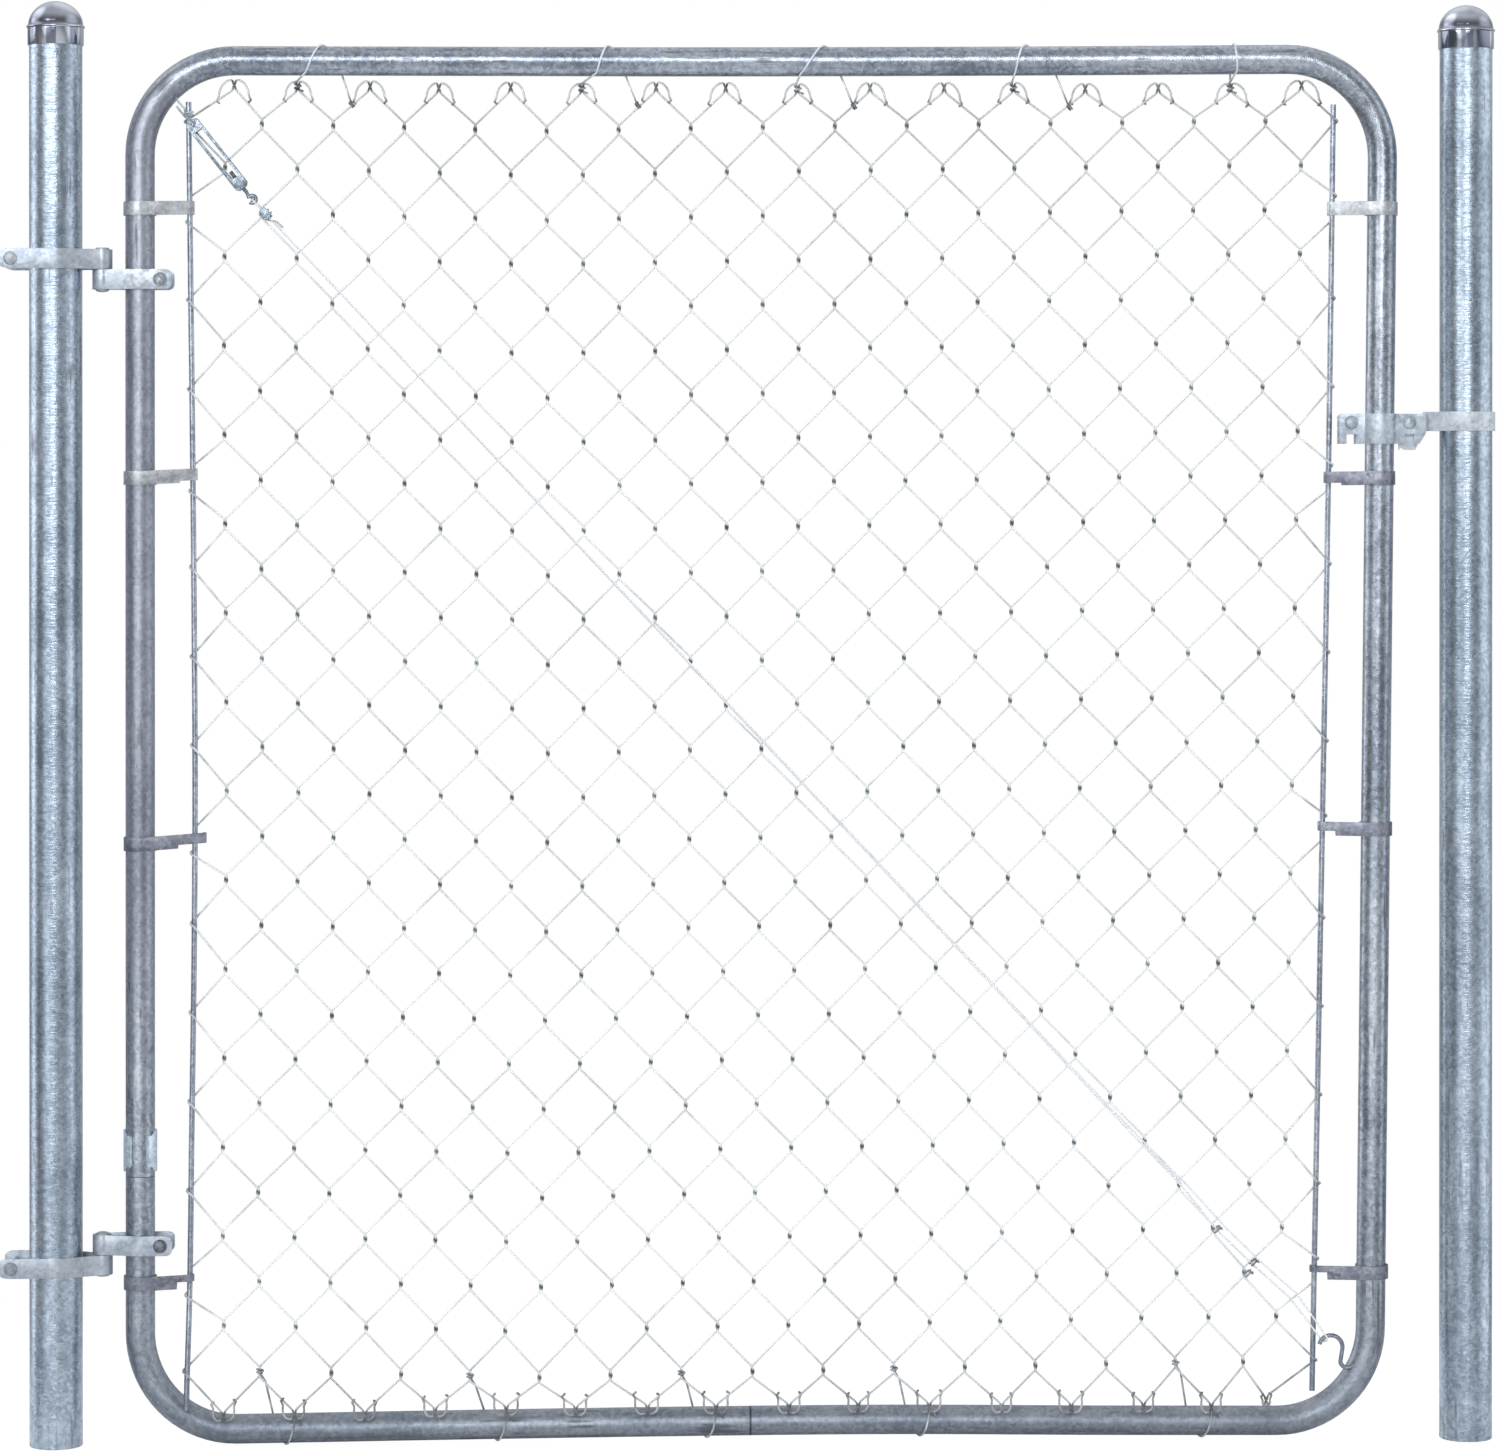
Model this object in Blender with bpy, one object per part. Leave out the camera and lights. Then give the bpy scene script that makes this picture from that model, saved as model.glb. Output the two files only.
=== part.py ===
"""A chain link walk gate between its two posts.

Metres, +Z up, X along the gate from the hinge post to the latch post, -Y towards the viewer.
The origin lies on the foot of the hinge post, in the middle of the tube's wall on the side
away from the gate, so both posts stand on z = 0 and the gate hangs in the plane y = 0.
"""

import math

import bmesh
import bpy
from mathutils import Vector

# Fits
SEAT_GAP = 0.0003
BOLT_CLEARANCE = 0.0004
PIN_CLEARANCE = 0.0004

# Posts
POST_DIAMETER = 0.0603
POST_WALL = 0.0024
POST_ABOVE_FRAME = 0.0370

# Post caps
CAP_WALL = 0.0014
CAP_SKIRT = 0.0205
CAP_BEAD = 0.0012
CAP_DOME_HEIGHT = 0.0285
CAP_DOME_STEPS = (20, 40, 60, 78)

# Gate frame, one tube bent round. Its rails have bowed: rise of each at shares of the width
FRAME_DIAMETER = 0.0334
FRAME_WALL = 0.0017
FRAME_SETBACK = 0.0958
FRAME_WIDTH = 1.4222
FRAME_TAPER = 0.0135
LATCH_SIDE_GAP = 0.0964
FRAME_BOTTOM = 0.0205
FRAME_HEIGHT = 1.558
FRAME_BEND_RADIUS = 0.108
RAIL_SHARES = (0.08, 0.26, 0.42, 0.60, 0.78, 0.92)
FOOT_RAIL_BOW = (-0.0030, 0.0002, 0.0025, 0.0036, 0.0012, 0.0)
TOP_RAIL_BOW = (0.0, 0.0, 0.0, 0.0010, 0.0028, 0.0046)
SPLICE_SHARE = 0.1839
SPLICE_SEAM = 0.0006

# Clip over the splice
CLIP_HEIGHT = 0.047
CLIP_LIP_HEIGHT = 0.036
CLIP_THICKNESS = 0.0022
CLIP_MOUTH = math.radians(27)
CLIP_RISE = 0.0270

# Tension bars, bowed by the pull of the mesh: distance from the frame tube at each band.
# Heights are shares of the frame's height. The hinge side bar ends in front of the lower bend.
BAR_DIAMETER = 0.0064
BAR_TOP_GAP = 0.0470
HINGE_BAR_FOOT = 0.0218
LATCH_BAR_FOOT = 0.0340
BAR_STEP_START = 0.1380
BAR_STEP_END = 0.0440
HINGE_SIDE_SHARES = (0.1056, 0.4284, 0.6935, 0.8912)
HINGE_SIDE_REACH = (0.0559, 0.0622, 0.0599, 0.0565)
LATCH_SIDE_SHARES = (0.1101, 0.4361, 0.6948, 0.8931)
LATCH_SIDE_REACH = (0.0663, 0.0615, 0.0581, 0.0568)

# Tension bands, from the foot up: height of the neck that hooks the bar, rise from tube to bar
BAND_HEIGHT = 0.0158
BAND_THICKNESS = 0.0019
BAND_HOOK_ROOM = 0.0004
BAND_HOOK_TURN = math.radians(80)
BAND_END_ANGLE = math.radians(33)
BAND_NECK_LENGTH = 0.0150
HINGE_SIDE_NECKS = (0.0080, 0.0118, 0.0135, 0.0157)
HINGE_SIDE_RISE = (0.0010, 0.0036, 0.0030, 0.0010)
LATCH_SIDE_NECKS = (0.0076, 0.0105, 0.0130, 0.0157)
LATCH_SIDE_RISE = (-0.0008, 0.0004, -0.0006, 0.0)

# Chain link mesh. Its pickets have slipped: rise of each at shares of the width
WIRE_HALF_WIDTH = 0.0016
WIRE_CORNER = 1.32
SEAM_CORNER = 1.6
MITRE_LIMIT = 3.4
DIAMOND_WIDTH = 0.0820
DIAMOND_HEIGHT = 0.1016
MESH_TOP_GAP = 0.0075
MESH_FOOT_GAP = 0.0036
MESH_SIDE_TUCK = 0.0047
PICKET_SHARES = (0.0, 0.094, 0.25, 0.3125, 0.375, 0.4375, 0.5625, 0.72, 0.875, 1.0)
PICKET_RISE = (0.0045, 0.0015, -0.0035, -0.0056, -0.0038, -0.0020, 0.0005, 0.0033, 0.0062, 0.0075)
KNUCKLE_TUCK_TOP = 0.0010
KNUCKLE_TUCK_FOOT = 0.0085
KNUCKLE_RISE = 0.0115
KNUCKLE_SHOULDER = 0.0140
KNUCKLE_SHOULDER_DROP = 0.0050
KNUCKLE_FOOT = 0.0185

# Hinges
HINGE_PIN_OFFSET = 0.0530
HINGE_PIN_DIAMETER = 0.0159
HINGE_STRAP_HEIGHT = 0.0225
HINGE_STRAP_THICKNESS = 0.0030
HINGE_RUNNING_GAP = 0.0005
UPPER_HINGE_SHARE = 0.8471
LOWER_HINGE_SHARE = 0.1266
POST_EAR_REACH = 0.0620
POST_EAR_BOLT = 0.0479
GATE_EAR_REACH = 0.0375
GATE_EAR_BOLT = 0.0240
EAR_CORNER = ((1.0, 0.45), (0.97, 0.72), (0.90, 0.94), (0.80, 1.0))
PIN_DOME = 0.0030
PIN_TAIL = 0.0020

# Carriage bolts
BOLT_DIAMETER = 0.0079
BOLT_HEAD_DIAMETER = 0.0155
BOLT_HEAD_HEIGHT = 0.0042
DOME_SHOULDER = (0.66, 0.75)
NUT_WIDTH = 0.0127
NUT_THICKNESS = 0.0064
BOLT_TAIL = 0.0020

# Latch: a loose collar in two halves, and the strike on the latch post
LATCH_HEIGHT = 0.0345
LATCH_SHARE = 0.7309
LATCH_THICKNESS = 0.0025
LATCH_CLEARANCE = 0.0010
LATCH_WING_GAP = 0.0140
LATCH_INNER_WING = 0.0471
LATCH_OUTER_WING = 0.0529
LATCH_BOLT_OFFSET = 0.0335
LATCH_BOLT_DROP = 0.0103
LATCH_NOTCH_WIDTH = 0.0110
LATCH_NOTCH_DEPTH = 0.0109
LATCH_CORNER_CUT = (0.0080, 0.0128)
LATCH_CORNER_ROUND = 0.0028
STRIKE_THICKNESS = 0.0030
STRIKE_HEIGHT = 0.0220
STRIKE_RISE = 0.0085
STRIKE_TIP_CLEARANCE = 0.0055
STRIKE_TONGUE_DEPTH = 0.0270
STRIKE_TIP_ROUND = ((0.0, 0.0075, 0.0030), (0.0022, 0.0030, 0.0), (0.0065, 0.0, 0.0))
STRIKE_ROOT = 0.0464
STRIKE_TURN = 0.0120
STRIKE_END_SHARE = 0.55

# Truss across the gate, in front of the mesh
TRUSS_DEPTH = -0.0105
ANCHOR_DROP = 0.0660
ANCHOR_RISE = 0.0085
TURNBUCKLE_DIP = math.radians(4.85)
TURNBUCKLE_START = 0.0045
TURNBUCKLE_LENGTH = 0.0974
TURNBUCKLE_WIDTH = 0.0165
TURNBUCKLE_DEPTH = 0.0090
TURNBUCKLE_BLOCK = 0.0150
TURNBUCKLE_RAIL = 0.0034
ANCHOR_HOLE = 0.0048
ANCHOR_WIRE_DIAMETER = 0.0030
EYE_ROD_DIAMETER = 0.0048
EYE_DIAMETER = 0.0130
EYE_REACH = 0.0160
EYE_NECK = 0.0090
EYE_OPENING = math.radians(75)
EYE_ROD_INSIDE = 0.0240
CABLE_DIAMETER = 0.0025
CABLE_KNEE = (-0.0585, 0.1129)
CABLE_SPREAD = 0.0045
CABLE_CLIP_LENGTH = 0.0130
CABLE_CLIP_THICKNESS = 0.0020
CABLE_CLIP_SETBACK = 0.0120
S_HOOK_DIAMETER = 0.0050
S_HOOK_TOP_RADIUS = 0.0135
S_HOOK_TOP = (-0.0156, 0.0541)
S_HOOK_FOOT_RADIUS = 0.0080
S_HOOK_FOOT = (0.0034, 0.0385)
S_HOOK_BEARING = math.radians(127)
S_HOOK_TURNS = (math.radians(165), math.radians(-8), math.radians(188), math.radians(290))
S_HOOK_TIP = 0.0080
S_HOOK_HOLE_CLEARANCE = 0.0004

# Facets round each curve
POST_SIDES = 24
FRAME_SIDES = 16
BEND_STEPS = 8
BOLT_SIDES = 12
WIRE_SIDES = 6

# Places that follow from the sizes above
POST_RADIUS = POST_DIAMETER / 2
FRAME_RADIUS = FRAME_DIAMETER / 2
BAR_RADIUS = BAR_DIAMETER / 2
PIN_RADIUS = HINGE_PIN_DIAMETER / 2
BOLT_RADIUS = BOLT_DIAMETER / 2
HINGE_POST_X = POST_RADIUS - POST_WALL / 2
PIN_X = HINGE_POST_X + HINGE_PIN_OFFSET
HINGE_STILE_X = HINGE_POST_X + FRAME_SETBACK
LATCH_STILE_TOP_X = HINGE_STILE_X + FRAME_WIDTH
LATCH_STILE_FOOT_X = LATCH_STILE_TOP_X - FRAME_TAPER
LATCH_POST_X = LATCH_STILE_TOP_X + LATCH_SIDE_GAP
FRAME_TOP = FRAME_BOTTOM + FRAME_HEIGHT
POST_HEIGHT = FRAME_TOP + POST_ABOVE_FRAME
MESH_TOP = FRAME_TOP - FRAME_RADIUS - MESH_TOP_GAP
MESH_FOOT = FRAME_BOTTOM + FRAME_RADIUS + MESH_FOOT_GAP
HINGE_SIDE_BANDS = [FRAME_BOTTOM + share * FRAME_HEIGHT for share in HINGE_SIDE_SHARES]
LATCH_SIDE_BANDS = [FRAME_BOTTOM + share * FRAME_HEIGHT for share in LATCH_SIDE_SHARES]
UPPER_HINGE_HEIGHT = FRAME_BOTTOM + UPPER_HINGE_SHARE * FRAME_HEIGHT
LOWER_HINGE_HEIGHT = FRAME_BOTTOM + LOWER_HINGE_SHARE * FRAME_HEIGHT
LATCH_CENTRE = FRAME_BOTTOM + LATCH_SHARE * FRAME_HEIGHT
STRIKE_CENTRE = LATCH_CENTRE + STRIKE_RISE
SPLICE_HEIGHT = FRAME_BOTTOM + SPLICE_SHARE * FRAME_HEIGHT
CLIP_CENTRE = SPLICE_HEIGHT + CLIP_RISE
ANCHOR_HEIGHT = FRAME_TOP - ANCHOR_DROP
BEND_INSET = FRAME_BEND_RADIUS * (1 - math.cos(math.pi / 4))
TRUSS_CORNER = (LATCH_STILE_FOOT_X - BEND_INSET, FRAME_BOTTOM + BEND_INSET)


def clear_scene():
    for obj in list(bpy.data.objects):
        bpy.data.objects.remove(obj)


def metal(name, colour, roughness, metallic=1.0):
    """A plain metal finish for one sub-part."""
    material = bpy.data.materials.new(name)
    material.use_nodes = True
    shader = material.node_tree.nodes["Principled BSDF"]
    shader.inputs["Base Color"].default_value = (*colour, 1.0)
    shader.inputs["Roughness"].default_value = roughness
    shader.inputs["Metallic"].default_value = metallic
    return material


def add_object(name, mesh, material, pivot=None):
    """Turns a finished bmesh into an object with outward faces, its origin on the pivot."""
    bmesh.ops.recalc_face_normals(mesh, faces=mesh.faces)
    place = Vector((0.0, 0.0, 0.0))
    if pivot is not None:
        place = pivot.matrix_world.translation.copy()
        bmesh.ops.translate(mesh, verts=mesh.verts, vec=-place)
    data = bpy.data.meshes.new(name)
    mesh.to_mesh(data)
    mesh.free()
    data.shade_smooth()
    data.set_sharp_from_angle(angle=math.radians(40))
    data.materials.append(material)
    obj = bpy.data.objects.new(name, data)
    bpy.context.scene.collection.objects.link(obj)
    if pivot is not None:
        obj.parent = pivot
    return obj


def cut(obj, cutter):
    """Takes the cutter's shape out of an object and keeps the cutter as a hidden helper."""
    cutter.hide_render = True
    cutter.display_type = "WIRE"
    modifier = obj.modifiers.new("Cut_" + cutter.name, "BOOLEAN")
    modifier.operation = "DIFFERENCE"
    modifier.solver = "EXACT"
    modifier.object = cutter


def arc(centre, radius, start, end, steps):
    """Points round a flat arc, angles in radians, both ends included."""
    points = []
    for step in range(steps + 1):
        angle = start + (end - start) * step / steps
        points.append((centre[0] + radius * math.cos(angle), centre[1] + radius * math.sin(angle)))
    return points


def wrap(centre, radius, start, end, steps):
    """An arc whose flats, not its corners, keep the radius: it fits round something turned."""
    return arc(centre, radius / math.cos((end - start) / steps / 2), start, end, steps)


def corner_offsets(path, closed):
    """At each point of a flat path, the mitred normal: a step of 1 across keeps the width."""
    count = len(path)
    offsets = []
    for index, point in enumerate(path):
        before = Vector(point) - Vector(path[index - 1])
        after = Vector(path[(index + 1) % count]) - Vector(point)
        if not closed and index == 0:
            before = after
        if not closed and index == count - 1:
            after = before
        before.normalize()
        after.normalize()
        bisector = (before + after).normalized()
        across = Vector((-bisector.y, bisector.x))
        offsets.append(across / max(bisector.dot(after), 0.2))
    return offsets


def join_rings(mesh, rings, closed):
    """Skins a row of rings with quads, and closes the two ends unless the row is a loop."""
    count = len(rings)
    for index in range(count if closed else count - 1):
        first = rings[index]
        second = rings[(index + 1) % count]
        for side in range(len(first)):
            following = (side + 1) % len(first)
            mesh.faces.new((first[side], first[following], second[following], second[side]))
    if not closed:
        mesh.faces.new(rings[0])
        mesh.faces.new(rings[-1])


def strap_mesh(path, thickness, edges):
    """A strip of sheet along a plan path (x, y); edges gives its (low, high) z at each point."""
    mesh = bmesh.new()
    rings = []
    half = thickness / 2
    for point, offset, (low, high) in zip(path, corner_offsets(path, False), edges):
        corners = []
        for across, height in ((-half, low), (half, low), (half, high), (-half, high)):
            spot = Vector(point) + offset * across
            corners.append(mesh.verts.new((spot.x, spot.y, height)))
        rings.append(corners)
    join_rings(mesh, rings, False)
    return mesh


def wire_mesh(path, radius, sides, closed=False):
    """A round wire along a path in space, its rings carried along without twisting."""
    points = [Vector(point) for point in path]
    count = len(points)
    mesh = bmesh.new()
    rings = []
    side_axis = None
    for index, point in enumerate(points):
        before = (point - points[index - 1]).normalized()
        after = (points[(index + 1) % count] - point).normalized()
        if not closed and index == 0:
            before = after
        if not closed and index == count - 1:
            after = before
        along = (before + after).normalized()
        if side_axis is None:
            side_axis = along.cross(Vector((0.0, 1.0, 0.0)))
            if side_axis.length < 0.1:
                side_axis = along.cross(Vector((1.0, 0.0, 0.0)))
        side_axis = (side_axis - along * side_axis.dot(along)).normalized()
        other_axis = along.cross(side_axis)
        ring = []
        for side in range(sides):
            angle = 2 * math.pi * (side + 0.5) / sides
            offset = side_axis * math.cos(angle) + other_axis * math.sin(angle)
            ring.append(mesh.verts.new(point + offset * radius))
        rings.append(ring)
    join_rings(mesh, rings, closed)
    return mesh


def turned_mesh(profile, sides, hexagonal=()):
    """Turns an outline of (radius, height) about Z. Stations listed as hexagonal become a nut."""
    mesh = bmesh.new()
    rings = []
    for index, (radius, height) in enumerate(profile):
        if radius == 0.0:
            rings.append([mesh.verts.new((0.0, 0.0, height))])
            continue
        ring = []
        for side in range(sides):
            angle = 2 * math.pi * side / sides
            reach = radius
            if index in hexagonal and side % 2:
                reach = radius * math.cos(math.pi / 6)
            ring.append(mesh.verts.new((reach * math.cos(angle), reach * math.sin(angle), height)))
        rings.append(ring)
    for first, second in zip(rings, rings[1:]):
        for side in range(sides):
            following = (side + 1) % sides
            corners = [first[side % len(first)], first[following % len(first)]]
            corners += [second[following % len(second)], second[side % len(second)]]
            mesh.faces.new(list(dict.fromkeys(corners)))
    for ring in (rings[0], rings[-1]):
        if len(ring) > 1:
            mesh.faces.new(ring)
    return mesh


def tube_mesh(path, radius, wall, sides):
    """A hollow tube along a path of (x, z) in the plane y = 0, open at both ends."""
    mesh = bmesh.new()
    skins = []
    for reach in (radius, radius - wall):
        rings = []
        for point, offset in zip(path, corner_offsets(path, False)):
            ring = []
            for side in range(sides):
                angle = 2 * math.pi * (side + 0.5) / sides
                spot = Vector(point) + offset * reach * math.cos(angle)
                ring.append(mesh.verts.new((spot.x, reach * math.sin(angle), spot.y)))
            rings.append(ring)
        skins.append(rings)
        for first, second in zip(rings, rings[1:]):
            for side in range(sides):
                following = (side + 1) % sides
                mesh.faces.new((first[side], first[following], second[following], second[side]))
    for end in (0, -1):
        outer = skins[0][end]
        inner = skins[1][end]
        for side in range(sides):
            following = (side + 1) % sides
            mesh.faces.new((outer[side], outer[following], inner[following], inner[side]))
    return mesh


def round_corners(corners, radius, steps):
    """A closed outline through the corners, each one rounded. It starts after the first corner."""
    path = []
    count = len(corners)
    for index in range(1, count + 1):
        corner = Vector(corners[index % count])
        before = (Vector(corners[index - 1]) - corner).normalized()
        after = (Vector(corners[(index + 1) % count]) - corner).normalized()
        half_angle = before.angle(after) / 2
        centre = corner + (before + after).normalized() * radius / math.sin(half_angle)
        first = corner + before * radius / math.tan(half_angle) - centre
        last = corner + after * radius / math.tan(half_angle) - centre
        turn = last.angle_signed(first)
        for step in range(steps + 1):
            angle = turn * step / steps
            swung = Vector((first.x * math.cos(angle) - first.y * math.sin(angle),
                            first.x * math.sin(angle) + first.y * math.cos(angle)))
            path.append(tuple(centre + swung))
    return path


def smooth_value(knots, values, place):
    """A smooth curve through the knots, straight past both ends."""
    slopes = []
    last = len(knots) - 1
    for index in range(len(knots)):
        low = max(index - 1, 0)
        high = min(index + 1, last)
        slopes.append((values[high] - values[low]) / (knots[high] - knots[low]))
    if place <= knots[0]:
        return values[0] + slopes[0] * (place - knots[0])
    if place >= knots[last]:
        return values[last] + slopes[last] * (place - knots[last])
    index = max(i for i in range(last) if knots[i] <= place)
    span = knots[index + 1] - knots[index]
    t = (place - knots[index]) / span
    return ((2 * t**3 - 3 * t**2 + 1) * values[index]
            + (t**3 - 2 * t**2 + t) * span * slopes[index]
            + (3 * t**2 - 2 * t**3) * values[index + 1]
            + (t**3 - t**2) * span * slopes[index + 1])


def latch_stile_x(height):
    """The latch side of the frame leans in towards its foot."""
    share = (FRAME_TOP - height) / FRAME_HEIGHT
    return LATCH_STILE_TOP_X - FRAME_TAPER * share


def rail_bow(rises, x):
    """How far a rail has bowed up from the straight, at a place along it."""
    share = (x - HINGE_STILE_X) / FRAME_WIDTH
    held = min(max(share, RAIL_SHARES[0]), RAIL_SHARES[-1])
    return smooth_value(RAIL_SHARES, rises, held)


def hinge_bar_x(height):
    return HINGE_STILE_X + smooth_value(HINGE_SIDE_BANDS, HINGE_SIDE_REACH, height)


def latch_bar_x(height):
    return latch_stile_x(height) - smooth_value(LATCH_SIDE_BANDS, LATCH_SIDE_REACH, height)


def make_post(name, centre_x, material):
    path = [(centre_x, 0.0), (centre_x, POST_HEIGHT)]
    return add_object(name, tube_mesh(path, POST_RADIUS, POST_WALL, POST_SIDES), material)


def make_cap(name, centre_x, material):
    """A cast cap: skirt round the post, bead, dome, and inside a ledge that sits on the post."""
    inner = POST_RADIUS + SEAT_GAP
    outer = inner + CAP_WALL
    ledge = POST_HEIGHT + SEAT_GAP
    dome_inner = POST_RADIUS - POST_WALL
    profile = [(outer, ledge - CAP_SKIRT), (outer, ledge - CAP_BEAD),
               (outer + CAP_BEAD, ledge), (outer - CAP_BEAD / 2, ledge + CAP_BEAD)]
    for angle in CAP_DOME_STEPS:
        turn = math.radians(angle)
        profile.append((outer * math.cos(turn), ledge + CAP_BEAD + CAP_DOME_HEIGHT * math.sin(turn)))
    profile.append((0.0, ledge + CAP_BEAD + CAP_DOME_HEIGHT))
    inside = [(0.0, ledge + CAP_DOME_HEIGHT - CAP_WALL)]
    for angle in (60, 30, 0):
        turn = math.radians(angle)
        height = ledge + (CAP_DOME_HEIGHT - CAP_WALL) * math.sin(turn)
        inside.append((dome_inner * math.cos(turn), height))
    inside += [(inner, ledge), (inner, ledge - CAP_SKIRT)]
    mesh = bmesh.new()
    sides = POST_SIDES * 2 // 3
    shells = profile + inside
    rings = []
    for radius, height in shells:
        if radius == 0.0:
            rings.append([mesh.verts.new((centre_x, 0.0, height))] * sides)
            continue
        turns = [2 * math.pi * side / sides for side in range(sides)]
        rings.append([mesh.verts.new((centre_x + radius * math.cos(turn) / math.cos(math.pi / sides),
                                      radius * math.sin(turn) / math.cos(math.pi / sides), height))
                      for turn in turns])
    tip = len(profile) - 1
    for index in range(len(rings)):
        if index == tip:
            continue
        first = rings[index]
        second = rings[(index + 1) % len(rings)]
        for side in range(sides):
            following = (side + 1) % sides
            corners = [first[side], first[following], second[following], second[side]]
            mesh.faces.new(list(dict.fromkeys(corners)))
    return add_object(name, mesh, material)


def frame_path():
    """The centre line of the frame, from just below the splice right round to just above it."""
    corners = [(HINGE_STILE_X, FRAME_BOTTOM), (LATCH_STILE_FOOT_X, FRAME_BOTTOM),
               (LATCH_STILE_TOP_X, FRAME_TOP), (HINGE_STILE_X, FRAME_TOP)]
    bends = round_corners(corners, FRAME_BEND_RADIUS, BEND_STEPS)
    turn = BEND_STEPS + 1
    foot_rail = rail_points(bends[-1], bends[0])
    top_rail = rail_points(bends[2 * turn - 1], bends[2 * turn])
    round_frame = bends[-turn:] + foot_rail + bends[:2 * turn] + top_rail + bends[2 * turn:-turn]
    path = [(HINGE_STILE_X, SPLICE_HEIGHT - SPLICE_SEAM / 2)]
    for x, z in round_frame:
        near_foot = max(0.0, 1.0 - (z - FRAME_BOTTOM) / FRAME_BEND_RADIUS)
        near_top = max(0.0, 1.0 - (FRAME_TOP - z) / FRAME_BEND_RADIUS)
        rise = near_foot * rail_bow(FOOT_RAIL_BOW, x) + near_top * rail_bow(TOP_RAIL_BOW, x)
        path.append((x, z + rise))
    return path + [(HINGE_STILE_X, SPLICE_HEIGHT + SPLICE_SEAM / 2)]


def rail_points(start, end):
    """Points along a rail, between two bends, where its bow is taken up."""
    steps = len(RAIL_SHARES)
    return [tuple(Vector(start).lerp(Vector(end), step / steps)) for step in range(1, steps)]


def make_frame(material, pivot):
    mesh = tube_mesh(frame_path(), FRAME_RADIUS, FRAME_WALL, FRAME_SIDES)
    return add_object("frame_tube", mesh, material, pivot)


def make_splice_clip(material, pivot):
    """A spring clip pushed on from behind, its two lips turned round to the front."""
    radius = FRAME_RADIUS + SEAT_GAP + CLIP_THICKNESS / 2
    start = -math.pi / 2 + CLIP_MOUTH
    end = 1.5 * math.pi - CLIP_MOUTH
    steps = 14
    path = wrap((HINGE_STILE_X, 0.0), radius, start, end, steps)
    edges = []
    for step in range(steps + 1):
        openness = abs(2 * step / steps - 1)
        height = CLIP_HEIGHT if openness < 0.8 else CLIP_LIP_HEIGHT
        edges.append((CLIP_CENTRE - height / 2, CLIP_CENTRE + height / 2))
    return add_object("splice_clip", strap_mesh(path, CLIP_THICKNESS, edges), material, pivot)


def make_tension_bar(name, bar_x, foot, step_forward, material, pivot):
    """A rod from above the foot rail to under the top rail. It may end in front of the tube."""
    low = FRAME_BOTTOM + foot
    high = FRAME_TOP - BAR_TOP_GAP
    start = FRAME_BOTTOM + BAR_STEP_START
    end = FRAME_BOTTOM + BAR_STEP_END
    heights = [low, end, (start + end) / 2, start]
    steps = 7
    heights += [start + (high - start) * step / steps for step in range(1, steps + 1)]
    path = []
    for height in heights:
        share = min(max((start - height) / (start - end), 0.0), 1.0)
        path.append((bar_x(height), -step_forward * share * share * (3 - 2 * share), height))
    return add_object(name, wire_mesh(path, BAR_RADIUS, 8), material, pivot)


def make_tension_band(name, stile_x, bar_x, height, neck, rise, material, pivot):
    """A strap that hooks round the bar, runs to the frame tube and once round it, to itself."""
    facing = 1.0 if bar_x > stile_x else -1.0
    reach = abs(bar_x - stile_x)
    round_tube = FRAME_RADIUS + SEAT_GAP + BAND_THICKNESS / 2
    round_bar = BAR_RADIUS + BAND_HOOK_ROOM + BAND_THICKNESS / 2
    lean = math.asin((round_tube - round_bar) / reach)
    tangent = -math.pi / 2 + lean
    hook = wrap((reach, 0.0), round_bar, BAND_HOOK_TURN, tangent, 5)
    back_along = Vector((-math.cos(lean), -math.sin(lean)))
    neck_end = Vector(hook[-1]) + back_along * BAND_NECK_LENGTH
    body_start = neck_end + back_along * BAND_THICKNESS / 4
    body = wrap((0.0, 0.0), round_tube, tangent, tangent + BAND_END_ANGLE - 2 * math.pi, 14)
    path = hook + [tuple(neck_end), tuple(body_start)] + body
    neck_points = len(hook) + 1
    edges = []
    for index, (along, _) in enumerate(path):
        depth = neck if index < neck_points else BAND_HEIGHT
        share = max(along, 0.0) / reach if index < neck_points + 2 else 0.0
        top = height + BAND_HEIGHT / 2 + rise * share
        edges.append((top - depth, top))
    path = [(stile_x + facing * along, across) for along, across in path]
    mesh = strap_mesh(path, BAND_THICKNESS, edges)
    return add_object(name, mesh, material, pivot)


def lattice_mesh(joints, bars, half_width):
    """Square wires set on edge, mitred where they meet, so that the whole panel is one body.

    joints maps a key to (x, z); bars lists pairs of keys. Each joint has a front and a back
    point and one point in each gap between neighbouring wires, shared by all that meet there.
    """
    mesh = bmesh.new()
    neighbours = {key: [] for key in joints}
    for first, second in bars:
        neighbours[first].append(second)
        neighbours[second].append(first)
    front = {}
    back = {}
    sides = {}
    for key, (x, z) in joints.items():
        front[key] = mesh.verts.new((x, -half_width, z))
        back[key] = mesh.verts.new((x, half_width, z))
        around = []
        for other in neighbours[key]:
            around.append((math.atan2(joints[other][1] - z, joints[other][0] - x), other))
        around.sort()
        count = len(around)
        for index, (angle, other) in enumerate(around):
            next_angle, next_other = around[(index + 1) % count]
            gap = (next_angle - angle) % (2 * math.pi)
            middle = angle + gap / 2
            reach = min(half_width / math.sin(gap / 2), MITRE_LIMIT * half_width)
            corner = mesh.verts.new((x + reach * math.cos(middle), 0.0, z + reach * math.sin(middle)))
            sides.setdefault((key, other), {})["left"] = corner
            sides.setdefault((key, next_other), {})["right"] = corner
    for first, second in bars:
        near = [front[first], sides[first, second]["left"], back[first], sides[first, second]["right"]]
        far = [front[second], sides[second, first]["right"], back[second], sides[second, first]["left"]]
        for side in range(4):
            following = (side + 1) % 4
            mesh.faces.new((near[side], near[following], far[following], far[side]))
    return mesh


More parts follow.
